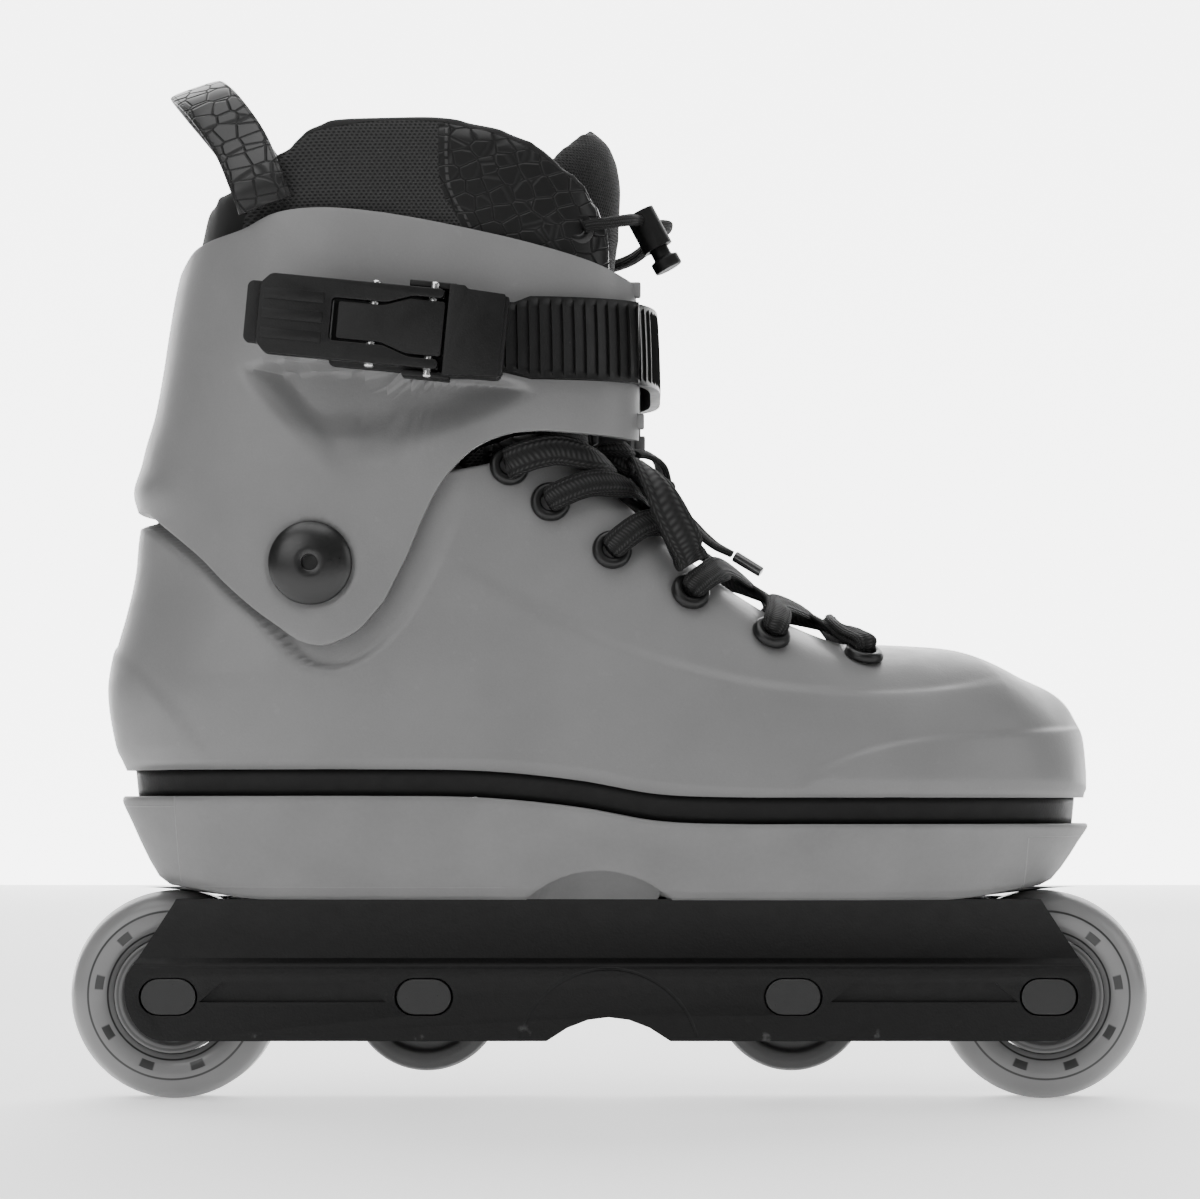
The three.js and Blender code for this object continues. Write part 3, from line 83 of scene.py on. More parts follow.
class Finish:
    """A procedural material, built up from a plain one."""

    def __init__(self, name, colour, roughness, metallic=0.0, coat=0.0, gloss=0.5):
        self.material = bpy.data.materials.new(name)
        self.material.use_nodes = True
        self.tree = self.material.node_tree
        self.shader = self.tree.nodes["Principled BSDF"]
        self.colour, self.roughness = colour, roughness
        self.shader.inputs["Base Color"].default_value = (colour, colour, colour, 1)
        self.shader.inputs["Roughness"].default_value = roughness
        self.shader.inputs["Metallic"].default_value = metallic
        self.shader.inputs["Coat Weight"].default_value = coat
        self.shader.inputs["Specular IOR Level"].default_value = gloss

    def node(self, kind, settings=(), sockets=(), output=0):
        made = self.tree.nodes.new(kind)
        for key, value in dict(settings).items():
            setattr(made, key, value)
        for key, value in dict(sockets).items():
            if isinstance(value, Wire):
                self.tree.links.new(value.socket, made.inputs[key])
            else:
                made.inputs[key].default_value = value
        return Wire(self, made.outputs[output])

    def place(self, output="Object"):
        return self.node("ShaderNodeTexCoord", output=output)

    def along(self, output="Object"):
        """The three coordinates of a place as separate numbers."""
        parts = {"Vector": self.place(output)}
        return [self.node("ShaderNodeSeparateXYZ", (), parts, k) for k in range(3)]

    def noise(self, size, detail=2.0, output="Object"):
        sockets = {"Vector": self.place(output), "Scale": 1 / size, "Detail": detail}
        return self.node("ShaderNodeTexNoise", (), sockets)

    def tint(self, amount):
        """Makes the colour darker and lighter by the values of a wire around 0.5."""
        shade = (amount - 0.5) * 2 * self.colour + self.colour
        grey = self.node("ShaderNodeCombineXYZ", (), {0: shade, 1: shade, 2: shade})
        self.tree.links.new(grey.socket, self.shader.inputs["Base Color"])

    def paint(self, mask, colour, under=None):
        """Another grey where the mask is 1."""
        base = self.colour if under is None else under
        shade = mask * (colour - base) + base
        grey = self.node("ShaderNodeCombineXYZ", (), {0: shade, 1: shade, 2: shade})
        self.tree.links.new(grey.socket, self.shader.inputs["Base Color"])

    def feed(self, socket, wire):
        self.tree.links.new(wire.socket, self.shader.inputs[socket])

    def relief(self, height, depth):
        """Raises the surface by up to depth where the height is 1."""
        bump = self.node("ShaderNodeBump", (), {"Height": height, "Distance": depth, "Strength": 1.0})
        self.feed("Normal", bump)


def piece(name, mesh, finish=None, body=None):
    """Turns a bmesh into a smooth-shaded object with a finish, riding on a body."""
    data = bpy.data.meshes.new(name)
    mesh.to_mesh(data)
    mesh.free()
    data.shade_smooth()
    made = bpy.data.objects.new(name, data)
    bpy.context.scene.collection.objects.link(made)
    if finish:
        data.materials.append(finish.material)
    if body:
        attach(made, body)
    return made


floor_finish = Finish("floor_paper", 0.93, 0.7)
floor_finish.tint(floor_finish.noise(0.004) * 0.02 + 0.49)
floor_finish.shader.inputs["Emission Color"].default_value = (1, 1, 1, 1)
floor_finish.shader.inputs["Emission Strength"].default_value = 0.55
floor_mesh = bmesh.new()
bmesh.ops.create_grid(floor_mesh, x_segments=1, y_segments=1, size=3.0)
floor = piece("floor", floor_mesh, floor_finish)


def softbox(name, place, aim, size, power):
    light = bpy.data.lights.new(name, "AREA")
    light.size, light.energy = size, power
    lamp = bpy.data.objects.new(name, light)
    lamp.location = place
    lamp.rotation_euler = (Vector(aim) - Vector(place)).to_track_quat("-Z", "Y").to_euler()
    bpy.context.scene.collection.objects.link(lamp)

heart = (0.0, 0.0, 0.15)
softbox("overhead_softbox", (-0.1, -0.25, 1.15), heart, 1.1, 12.0)
softbox("camera_side_card", (-0.75, -1.25, 0.75), heart, 0.8, 6.5)
softbox("toe_side_card", (1.2, -0.5, 0.55), heart, 0.7, 3.0)
softbox("far_card", (0.2, 1.3, 0.8), heart, 0.9, 4.0)

paper = Finish("lit_backdrop", 0.8, 0.9)
paper.shader.inputs["Emission Color"].default_value = (1, 1, 1, 1)
paper.shader.inputs["Emission Strength"].default_value = 5.0
backdrop_mesh = bmesh.new()
bmesh.ops.create_grid(backdrop_mesh, x_segments=1, y_segments=1, size=3.0)
bmesh.ops.rotate(backdrop_mesh, verts=backdrop_mesh.verts, matrix=Matrix.Rotation(pi / 2, 3, "X"))
bmesh.ops.translate(backdrop_mesh, verts=backdrop_mesh.verts, vec=(0, 2.6, 1))
piece("backdrop", backdrop_mesh, paper)

world = bpy.data.worlds.new("studio")
world.use_nodes = True
world.node_tree.nodes["Background"].inputs["Color"].default_value = (1, 1, 1, 1)
world.node_tree.nodes["Background"].inputs["Strength"].default_value = 0.15
bpy.context.scene.world = world

lens = bpy.data.cameras.new("studio_camera")
lens.lens, lens.sensor_width = 103.4, 36.0
lens.shift_x, lens.shift_y = -0.051, 0.17
camera = bpy.data.objects.new("studio_camera", lens)
camera.location = (0.015, -1.0, 0.085)
camera.rotation_euler = (pi / 2, 0, 0)
bpy.context.scene.collection.objects.link(camera)
bpy.context.scene.camera = camera

# ---------------------------------------------------------------- outer wheels
# Two 60 mm wheels of cast urethane on grey nylon cores. The tyre is turned from its worn-in profile,
# and a generic pair of printed rings runs round each side.
def turned(profile, steps=96):
    """A closed profile of [radius, y] points in millimetres, turned about the Y axis."""
    mesh = bmesh.new()
    ring = [mesh.verts.new((r * mm, y * mm, 0)) for r, y in profile]
    edges = [mesh.edges.new((ring[i - 1], ring[i])) for i in range(len(ring))]
    bmesh.ops.spin(
        mesh, geom=ring + edges, cent=(0, 0, 0), axis=(0, 1, 0), angle=2 * pi, steps=steps, use_merge=True
    )
    bmesh.ops.remove_doubles(mesh, verts=mesh.verts, dist=1e-6)
    bmesh.ops.recalc_face_normals(mesh, faces=mesh.faces)
    return mesh


def rounded(profile, radius, steps=4):
    """The closed profile with each corner turned into a short arc."""
    points = []
    count = len(profile)
    for i, corner in enumerate(profile):
        before, at, after = (Vector(p) for p in (profile[i - 1], corner, profile[(i + 1) % count]))
        back, ahead = before - at, after - at
        reach = min(radius, back.length * 0.45, ahead.length * 0.45)
        start, end = at + back.normalized() * reach, at + ahead.normalized() * reach
        for k in range(steps + 1):
            u = k / steps
            points.append((1 - u) ** 2 * start + 2 * u * (1 - u) * at + u * u * end)
    return points


def moved(mesh, x, z):
    bmesh.ops.translate(mesh, verts=mesh.verts, vec=(x, 0, z))
    return mesh


axle_names = ["rear", "mid_rear", "mid_front", "front"]
axle_places = {n: (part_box("axle_" + n)[0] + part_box("axle_" + n)[1]) / 2 for n in axle_names}
tyre_half, hub_radius, wheel_radius = 12.0, 16.7, 30.0

def wheel_print(finish, centre):
    """Masks for the side of a wheel: how far from its axle, and how far round."""
    x, y, z = finish.along()
    dx, dz = x - centre.x, z - centre.z
    return (dx * dx + dz * dz).root(), dz.maths("ARCTAN2", dx), abs(y)

def urethane(name, centre):
    cast = Finish(name, 0.17, 0.34, coat=0.15)
    radius, turn, side = wheel_print(cast, centre)
    rings = radius.step(23.7 * mm, 23.9 * mm) * (1 - radius.step(24.3 * mm, 24.5 * mm))
    inner = radius.step(18.2 * mm, 18.4 * mm) * (1 - radius.step(18.7 * mm, 18.9 * mm))
    bars = ((turn * 9).wave()).step(0.55, 0.75) * radius.step(19.8 * mm, 20 * mm)
    bars = bars * (1 - radius.step(22.2 * mm, 22.4 * mm))
    mask = (rings + inner + bars) * side.step(9.5 * mm, 10.5 * mm)
    cloud = cast.noise(0.012, 4.0)
    cast.paint(mask, 0.02, under=0.17 * (0.88 + 0.24 * cloud))
    cast.feed("Roughness", 0.24 + 0.2 * cast.noise(0.003, 5.0))
    cast.relief(cast.noise(0.0009, 3.0), 0.00004)
    return cast

tyre_profile = [
    (hub_radius + 0.3, -tyre_half + 1.4), (20.5, -tyre_half + 0.5), (23.5, -tyre_half + 0.1),
    (25.6, -tyre_half + 0.5), (27.6, -tyre_half + 1.8), (29, -tyre_half + 3.8), (29.75, -tyre_half + 6.2),
    (wheel_radius, -5.2), (wheel_radius, 0), (wheel_radius, 5.2),
]
tyre_profile += [(r, -y) for r, y in reversed(tyre_profile[:7])]
for name in ("rear", "front"):
    centre = axle_places[name]
    finish = urethane("cast_urethane_" + name, centre)
    tyre_mesh = moved(turned(tyre_profile), centre.x, centre.z)
    tyre = piece("tyre_" + name + "_visual", tyre_mesh, finish, "wheel_" + name)
    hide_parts("tyre_" + name)
    core = Finish("nylon_core_" + name, 0.12, 0.42)
    reach = wheel_print(core, centre)[0]
    core.paint(reach.step(15.2 * mm, 15.5 * mm) * (1 - reach.step(15.9 * mm, 16.2 * mm)), 0.05)
    core.relief(core.noise(0.0006, 2.0), 0.00005)
    hub_half = 11.4
    bore = [(11.3, hub_half), (11.3, 4), (9.4, 4), (9.4, -4), (11.3, -4), (11.3, -hub_half)]
    rim = [
        (hub_radius, -hub_half), (hub_radius, hub_half), (14.4, hub_half), (13.6, hub_half - 1.4),
        (12.6, hub_half - 1.4), (12, hub_half),
    ]
    face = [(12, -hub_half), (12.6, 1.4 - hub_half), (13.6, 1.4 - hub_half), (14.4, -hub_half)]
    hub_mesh = moved(turned(rounded(rim + bore + face, 0.35, 2)), centre.x, centre.z)
    hub = piece("hub_" + name + "_visual", hub_mesh, core, "wheel_" + name)
    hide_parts("hub_" + name)

# ---------------------------------------------------------------- middle wheels
# Two small hard nylon wheels that only touch a rail. They are turned in one piece with a shallow
# dish on each side.
small_nylon = Finish("hard_black_nylon", 0.03, 0.45)
small_nylon.feed("Roughness", 0.38 + 0.22 * small_nylon.noise(0.004, 5.0))
small_nylon.relief(small_nylon.noise(0.0007, 2.0), 0.00006)
small_radius, small_half = 22.0, 11.4
small_rim = [
    (19, -small_half), (21.2, -9.6), (small_radius, -6.4), (small_radius, 6.4), (21.2, 9.6), (19, small_half),
]
small_dish = [(16.4, small_half), (15.6, small_half - 1.6), (13.4, small_half - 1.6), (12.8, small_half)]
small_bore = [(11.3, small_half), (11.3, 4), (9.4, 4), (9.4, -4), (11.3, -4), (11.3, -small_half)]
far_dish = [(r, -y) for r, y in reversed(small_dish)]
small_profile = rounded(small_rim + small_dish + small_bore + far_dish, 0.5, 2)
for name in ("mid_rear", "mid_front"):
    wheel_mesh = moved(turned(small_profile), axle_places[name].x, axle_places[name].z)
    wheel = piece("small_wheel_" + name + "_visual", wheel_mesh, small_nylon, "wheel_" + name)
    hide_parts("small_wheel_" + name)

# ---------------------------------------------------------------- bearings and spacers
# Standard 608 bearings: bright races with a groove on each face and a shield between them, black on the
# real part but drawn here in the same bright steel, and a steel tube that keeps the pair apart on the axle.
bearing_steel = Finish("bearing_steel", 0.6, 0.22, metallic=1.0)
bearing_steel.feed("Roughness", 0.16 + 0.18 * bearing_steel.noise(0.002, 4.0))
bearing_steel.relief(bearing_steel.noise(0.0004, 2.0), 0.00001)
for name in axle_names:
    centre = axle_places[name]
    for word, side in (("outer", -1), ("inner", 1)):
        inside, outside = 4.3, 11.3
        faces = [
            (4.2, inside), (11, inside), (11, outside), (9.6, outside), (9.4, outside - 0.4),
            (6.2, outside - 0.4), (6, outside), (4.2, outside),
        ]
        mesh = turned(rounded([(r, side * y) for r, y in faces], 0.25, 2), 48)
        node = "bearing_" + name + "_" + word
        mesh = moved(mesh, centre.x, centre.z)
        bearing = piece(node + "_visual", mesh, bearing_steel, "wheel_" + name)
        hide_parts(node)
    tube = turned(rounded([(4.2, -4), (6.4, -4), (6.4, 4), (4.2, 4)], 0.3, 2), 48)
    tube = moved(tube, centre.x, centre.z)
    spacer = piece("bearing_spacer_" + name + "_visual", tube, bearing_steel, "boot")
    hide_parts("bearing_spacer_" + name)

# ---------------------------------------------------------------- axles and screws
# A blackened steel axle with an oblong head sunk in the frame's outer wall, closed by a socket screw
# from the inner side. The copies of the frame's solids get rounded edges.
def moulded(node, finish, body, edge=0.4, limit=32, segments=2):
    """Stands for a CAD node with a merged copy of its mesh whose edges are rounded."""
    mesh = bmesh.new()
    mesh.from_mesh(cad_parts[node].data)
    bmesh.ops.remove_doubles(mesh, verts=mesh.verts, dist=2e-6)
    bmesh.ops.dissolve_limit(mesh, angle_limit=radians(1.5), verts=mesh.verts, edges=mesh.edges)
    made = piece(node + "_visual", mesh, finish, body)
    made.data.set_sharp_from_angle(angle=radians(limit))
    bevel = made.modifiers.new("rounded_edges", "BEVEL")
    bevel.width, bevel.segments, bevel.limit_method = edge * mm, segments, "ANGLE"
    bevel.angle_limit, bevel.harden_normals, bevel.use_clamp_overlap = radians(limit), False, True
    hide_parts(node)
    return made

def painted_steel(name, grey=0.006):
    steel = Finish(name, grey, 0.3, gloss=0.5)
    steel.feed("Roughness", 0.22 + 0.2 * steel.noise(0.0015, 5.0))
    steel.relief(steel.noise(0.0005, 3.0), 0.00002)
    return steel

black_steel = painted_steel("blackened_steel")
for name in axle_names:
    moulded("axle_" + name, black_steel, "boot", 0.3)
    moulded("axle_screw_" + name, black_steel, "boot", 0.3)

# ---------------------------------------------------------------- frame
# One moulding of glass-filled nylon with a channel for the wheels, a grind arch in the middle and a
# shallow panel between each pair of wheels; two bolts hold it to the boot.
frame_nylon = Finish("glass_filled_nylon", 0.005, 0.42, gloss=0.22)
x, y, z = frame_nylon.along()
arc = ((x * x) + (z - 12 * mm) * (z - 12 * mm)).root()
groove = arc.step(25.4 * mm, 25.8 * mm) * (1 - arc.step(26.2 * mm, 26.6 * mm))
groove = groove * z.step(18 * mm, 20 * mm)
rail = abs(z - 38.6 * mm).step(0.25 * mm, 0.5 * mm)
scuff = frame_nylon.noise(0.006, 8.0).step(0.62, 0.74) * (1 - z.step(19 * mm, 24 * mm))
frame_nylon.paint(scuff, 0.06)
frame_nylon.feed("Roughness", 0.34 + 0.26 * frame_nylon.noise(0.005, 6.0) + 0.1 * scuff)
frame_nylon.relief(rail * 0.5 + groove * -0.6 + frame_nylon.noise(0.0008, 3.0) * 0.3, 0.0003)
moulded("frame", frame_nylon, "boot", 0.7, 40, 3)
for end in ("rear", "front"):
    moulded("frame_bolt_" + end, black_steel, "boot", 0.3)

# ---------------------------------------------------------------- grinding plate
# The grey soul plate under the boot, moulded as a loft round the sole, with a grind arch in each side
# and fine mould lines where its hard inserts meet.
def spline(points, t):
    """A smooth curve through the points, from t = 0 to t = 1."""
    last = len(points) - 1
    i = min(int(t * last), last - 1)
    w = t * last - i
    b, c = points[i], points[i + 1]
    a = points[i - 1] if i > 0 else 2 * b - c
    d = points[i + 2] if i + 2 <= last else 2 * c - b
    before, here, after = (max((q - p).length ** 0.5, 1e-5) for p, q in ((a, b), (b, c), (c, d)))
    leave = ((b - a) / before - (c - a) / (before + here) + (c - b) / here) * here
    arrive = ((c - b) / here - (d - b) / (here + after) + (d - c) / after) * here
    return (
        (2 * w**3 - 3 * w**2 + 1) * b + (w**3 - 2 * w**2 + w) * leave
        + (3 * w**2 - 2 * w**3) * c + (w**3 - w**2) * arrive
    )


def eased(pairs, at):
    """A smooth line through [place, value] pairs."""
    i = min(max(bisect.bisect_right([p[0] for p in pairs], at) - 1, 0), len(pairs) - 2)
    (x0, a), (x1, b) = pairs[i], pairs[i + 1]
    w = min(max((at - x0) / (x1 - x0), 0), 1)

    def slope(k):
        lo, hi = pairs[max(k - 1, 0)], pairs[min(k + 1, len(pairs) - 1)]
        return (hi[1] - lo[1]) / (hi[0] - lo[0]) * (x1 - x0)

    return (
        (2 * w**3 - 3 * w**2 + 1) * a + (w**3 - 2 * w**2 + w) * slope(i)
        + (3 * w**2 - 2 * w**3) * b + (w**3 - w**2) * slope(i + 1)
    )


def ramp(value, start, end):
    w = min(max((value - start) / (end - start), 0), 1)
    return w * w * (3 - 2 * w)


def swing(x):
    """How far the forefoot bends to the inner side at a place along the boot."""
    return 4 * ramp(x, -20, 110)


heel_z, ball_z = 94.5, 86.7
sole_line = [Vector(p) for p in (
    (-140, 0, heel_z), (-136, 17, heel_z), (-122, 32, heel_z), (-98, 40.5, heel_z),
    (-66, 43, heel_z), (-34, 44, heel_z - 0.5), (-8, 46, heel_z - 3.1), (14, 49, ball_z + 0.9),
    (36, 51.5, ball_z), (58, 52.5, ball_z), (80, 51.5, ball_z), (100, 47, ball_z),
    (118, 38, ball_z), (130, 25, ball_z), (136, 12, ball_z), (138, 0, ball_z),
)]

def sole_edge(t, inset):
    """A point of the sole's edge, moved inwards against the direction that it faces in."""
    ahead, behind = spline(sole_line, min(t + 0.002, 1)), spline(sole_line, max(t - 0.002, 0))
    face = Vector((behind.y - ahead.y, ahead.x - behind.x, 0)).normalized()
    if t <= 0: face = Vector((-1, 0, 0))
    if t >= 1: face = Vector((1, 0, 0))
    p = spline(sole_line, t) - face * inset
    p.y = max(p.y, 0)
    return p


def lofted(stations, steps, place):
    """Half a loft from an operator's grid, placed by place(t, v) in millimetres."""
    mesh = bmesh.new()
    bmesh.ops.create_grid(mesh, x_segments=stations, y_segments=steps, size=0.5)
    for vert in mesh.verts:
        vert.co = place(vert.co.x + 0.5, vert.co.y + 0.5)
    return mesh


def both_sides(mesh, merge=0.02):
    """Mirrors the inner half to the outer side, joins the halves and swings the forefoot inwards."""
    outer = bmesh.ops.duplicate(mesh, geom=mesh.verts[:] + mesh.edges[:] + mesh.faces[:])["geom"]
    verts = [g for g in outer if isinstance(g, bmesh.types.BMVert)]
    faces = [g for g in outer if isinstance(g, bmesh.types.BMFace)]
    bmesh.ops.scale(mesh, vec=(1, -1, 1), verts=verts)
    bmesh.ops.reverse_faces(mesh, faces=faces)
    bmesh.ops.remove_doubles(mesh, verts=mesh.verts, dist=merge)
    for vert in mesh.verts:
        vert.co.y += swing(vert.co.x)
    bmesh.ops.scale(mesh, vec=(mm, mm, mm), verts=mesh.verts)
    bmesh.ops.recalc_face_normals(mesh, faces=mesh.faces)
    return mesh


grind_bottom, sole_band, gap = 57.85, 6.8, 0.3
arch_half, arch_rise, arch_x, arch_core = 20.5, 8.3, -2.5, 24
arch_radius = (arch_half**2 + arch_rise**2) / (2 * arch_rise)

def plate_point(rows, bottom, top, t, v):
    """A point on a plate's half section. Each row is an inset (None in the middle) and a share of the height."""
    k = v * (len(rows) - 1)
    i = min(int(k), len(rows) - 2)
    edge = spline(sole_line, t)
    low, high = bottom(edge), top(edge)

    def corner(inset, share):
        p = Vector((edge.x, 0, 0)) if inset is None else sole_edge(t, inset)
        p.z = low + (high - low) * share
        return p
    return corner(*rows[i]).lerp(corner(*rows[i + 1]), k - i)


plate_rows = [
    (None, 0), (17, 0), (12.5, 0.03), (9.4, 0.12), (6.6, 0.3), (3.8, 0.52), (1.6, 0.71), (-0.3, 0.86),
    (-1.05, 0.925), (-1.2, 0.955), (-1.05, 0.985), (-0.6, 1), (1.5, 1), (None, 1),
]

def plate_surface(t, v):
    bottom = lambda e: grind_bottom + 3 * ramp(abs(e.x), 100, 138)
    top = lambda e: e.z - 2 * gap - sole_band
    p = plate_point(plate_rows, bottom, top, t, v)
    across = arch_radius**2 - (p.x - arch_x) ** 2
    arch = grind_bottom + arch_rise - arch_radius + across**0.5 if across > 0 else 0
    inside = abs(p.x - arch_x) < arch_half and abs(p.y) > arch_core
    p.z = max(p.z, arch if inside else 0)
    return p

grey_plate = Finish("grey_grinding_nylon", 0.145, 0.5)
x, y, z = grey_plate.along()

def hairline(value, at, width=0.18):
    return 1 - abs(value - at * mm).step(width * 0.5 * mm, width * 1.5 * mm)


rear_line = hairline(x, -121.5) * z.step(62 * mm, 64 * mm)
rear_line += hairline(z, 84.2) * (1 - x.step(-122 * mm, -121.4 * mm))
front_line = hairline(x, 118) * (1 - z.step(75 * mm, 75.6 * mm))
front_line += hairline(z, 75.6) * x.step(118 * mm, 118.4 * mm)
seam = hairline(z, 61.5) * x.step(-118 * mm, -110 * mm) * (1 - x.step(-32 * mm, -24 * mm))
lines = rear_line + front_line + 0.6 * seam
streak = grey_plate.noise(0.02, 6.0)
grey_plate.tint(0.36 + 0.22 * streak + 0.06 * grey_plate.noise(0.0012, 3.0) + 0.12 * lines)
grey_plate.feed("Roughness", 0.42 + 0.2 * grey_plate.noise(0.006, 6.0))
grey_plate.relief(lines * 0.6 + grey_plate.noise(0.0009, 3.0) * 0.25, 0.00018)
soul = piece("soulplate_visual", both_sides(lofted(260, 52, plate_surface)), grey_plate, "boot")
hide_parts("soulplate")

# ---------------------------------------------------------------- black plate between boot and grinding plate
# A plain band of black nylon set in from both, whose straight side only the gap between them shows.
band_rows = [(None, 0), (3.6, 0), (3.4, 0.02), (2.7, 0.98), (2.9, 1), (None, 1)]
plain_nylon = Finish("black_boot_nylon", 0.004, 0.5, gloss=0.22)
plain_nylon.feed("Roughness", 0.4 + 0.2 * plain_nylon.noise(0.004, 5.0))
plain_nylon.relief(plain_nylon.noise(0.0008, 3.0), 0.00005)
band = lofted(200, 20, lambda t, v: plate_point(
    band_rows, lambda e: e.z - 2 * gap - sole_band + 0.02, lambda e: e.z - 0.02, t, v
))
midsole = piece("midsole_visual", both_sides(band), plain_nylon, "boot")
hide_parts("midsole")

# ---------------------------------------------------------------- boot shell
# The grey moulded boot. It is lofted from the sole up to its top line; it steps in above the heel
# counter to seat the cuff, and has a proud toe cap, a heel corner and a recessed lacing zone.
def powered(value, power):
    return max(value, 0) ** power


shell_top = [Vector(p) for p in (
    (-134.6, 0, 169.5), (-130.4, 19, 169.5), (-116, 34, 170), (-93, 43, 171),
    (-62, 44.6, 174), (-36, 41.6, 179), (-16, 36, 184), (3, 31, 172),
    (24, 28.5, 154), (46, 25, 139.5), (66, 18, 131.8), (80, 8, 131.8),
    (92, 0, 131), (108.5, 0, 123.8), (127, 0, 117), (134.5, 0, 109.5),
)]
shell_turn = [0.3, 0.3, 0.3, 0.3, 0.35, 0.45, 0.55, 0.62, 0.66, 0.72, 0.8, 0.92, 1, 1, 1, 1]
heel_swell = [[0, 0], [0.1, 2.6], [0.3, 5], [0.45, 3.8], [0.6, 1.4], [0.75, 0], [0.9, 0.4], [1, 0]]
throat_share = 12 / 15

def boot_point(t, v):
    """The boot's outer surface, t from heel to toe and v from the sole up, on the inner side."""
    sole, end = spline(sole_line, t), spline(shell_top, t)
    bend = pi / 2 * eased([[k / 15, turn] for k, turn in enumerate(shell_turn)], t)
    rise = powered(sin(bend * v), 2 / 2.6) / sin(bend) ** (2 / 2.6)
    lean = (1 - powered(cos(bend * v), 0.9)) / (1 - powered(cos(bend), 0.9))
    p = Vector((sole.x + (end.x - sole.x) * lean, max(0, sole.y + (end.y - sole.y) * lean),
                sole.z + (end.z - sole.z) * rise))
    swell = eased(heel_swell, (p.z - sole.z) / (169.5 - heel_z)) * (1 - ramp(t, 0.12, 0.34))
    away = Vector((p.x + 95, p.y, 0)).normalized()
    p += away * swell
    p.y = max(p.y, 0)
    return p


counter_edge = [
    [-150, 165.6], [-134, 164.6], [-127, 160.6], [-114.6, 150.8], [-106.3, 143.6], [-97.6, 136.8],
    [-91.4, 130.4], [-85.4, 124.8], [-79.5, 122.6], [-73, 123], [-66, 126.6], [-59, 133], [-53.6, 140],
    [-48.6, 149], [-44, 158.6], [-39.6, 167.4], [-33.6, 175.6], [-26.6, 179.8], [-10, 181], [20, 181],
]
toe_cap_edge = [
    [47.4, 87.5], [59, 94.1], [67.6, 97.9], [76.2, 100.5], [84.5, 102.2], [93.1, 103.3],
    [104.5, 104.1], [120, 105.3], [140, 107.4],
]
heel_corner = [[-146, 133], [-142, 129.3], [-131.6, 121.2], [-123, 113.2], [-115.7, 104], [-109.4, 95]]
lacing_edge = [
    [-52, 156.5], [-42.3, 152], [-30.4, 144.6], [-17.7, 138.2], [-4.9, 132.4], [7.8, 127.4],
    [20.5, 123.5], [36.3, 119.6], [49.1, 117.7], [70.4, 116.3], [87.3, 116.9], [98.7, 118.2],
    [107.8, 119.6], [125, 121.5],
]

def above(edge, p, width):
    """0 below a side-view line and 1 above it, across a step of the given width."""
    slope = eased(edge, p.x + 1) - eased(edge, p.x - 1)
    return ramp((p.z - eased(edge, p.x)) / (1 + slope * slope / 4) ** 0.5, -width / 2, width / 2)


shaft_middle = -66
back_line = [
    [120, -127], [150, -132], [169, -134.9], [184, -134.2], [196, -130.9], [208, -128.6], [219, -126.9],
    [231, -124.8], [245, -121.5], [258, -118.8], [285, -112],
]
front_line = [[120, 4], [170, 10], [187, 11], [213, 11], [245, 9], [285, 6]]
half_line = [[120, 47], [152, 47], [187, 46.6], [213, 46.6], [245, 46.2], [285, 44.5]]

def seated(p, under):
    """The point, moved in to lie under the cuff's surface by at least the given depth."""
    dx, dy = p.x - shaft_middle, abs(p.y)
    reach = (eased(front_line, p.z) if dx > 0 else eased(back_line, p.z)) - shaft_middle
    power = 4.5 if dx > 0 else 2.5
    size = (abs(dx) / (abs(reach) - under)) ** power + (dy / (eased(half_line, p.z) - under)) ** power
    if size <= 1: return p
    shrink = size ** (-1 / power)
    return Vector((shaft_middle + dx * shrink, p.y * shrink, p.z))


def shell_surface(t, v):
    p = boot_point(t, v)
    ahead, behind = boot_point(min(t + 0.004, 1), v), boot_point(max(t - 0.004, 0), v)
    over, under = boot_point(t, min(v + 0.02, 1)), boot_point(t, max(v - 0.02, 0))
    out = (over - under).cross(ahead - behind)
    out = out.normalized() if out.length > 1e-9 else Vector((0, 0, 1))
    lift = -1.1 * above(lacing_edge, p, 3.4) * ramp(p.x, -48, -24) * (1 - ramp(p.x, 92, 118))
    if p.x > 42:
        lift += 0.9 * (1 - above(toe_cap_edge, p, 1.6)) * ramp(p.x, 44, 62)
    if p.x < -104:
        lift += 0.7 * (1 - above(heel_corner, p, 1.8)) * (1 - ramp(p.x, -113, -106))
    lift *= ramp(v, 0, 0.04)
    p = p + out * lift
    seat = above(counter_edge, p, 1.5) * (1 - ramp(p.x, 6, 14))
    p = p.lerp(seated(p, 4.4), seat)
    if t <= 0 or t >= 1 or (v >= 1 and t > throat_share): p.y = 0
    p.y = max(p.y, 0)
    return p


grey_shell = Finish("grey_boot_nylon", 0.15, 0.40, coat=0.05)
mottle = grey_shell.noise(0.03, 5.0)
speck = grey_shell.noise(0.0006, 2.0)
scratch = grey_shell.noise(0.0035, 9.0).step(0.66, 0.72)
grey_shell.tint(0.38 + 0.18 * mottle + 0.06 * speck + 0.03 * scratch)
grey_shell.feed("Roughness", 0.34 + 0.2 * grey_shell.noise(0.008, 6.0) + 0.05 * scratch)
grey_shell.relief(speck * 0.5 + grey_shell.noise(0.002, 4.0) * 0.5, 0.00007)
shell_mesh = both_sides(lofted(250, 64, shell_surface), 0.05)
toe_ridge = [
    vert for vert in shell_mesh.verts
    if vert.co.x > 84 * mm and vert.co.z > 95 * mm and not vert.is_boundary
    and abs(vert.co.y / mm - swing(vert.co.x / mm)) < 9
]
for _ in range(40):
    bmesh.ops.smooth_vert(
        shell_mesh, verts=toe_ridge, factor=0.5, use_axis_x=True, use_axis_y=True, use_axis_z=True
    )
shell = piece("shell_visual", shell_mesh, grey_shell, "boot")
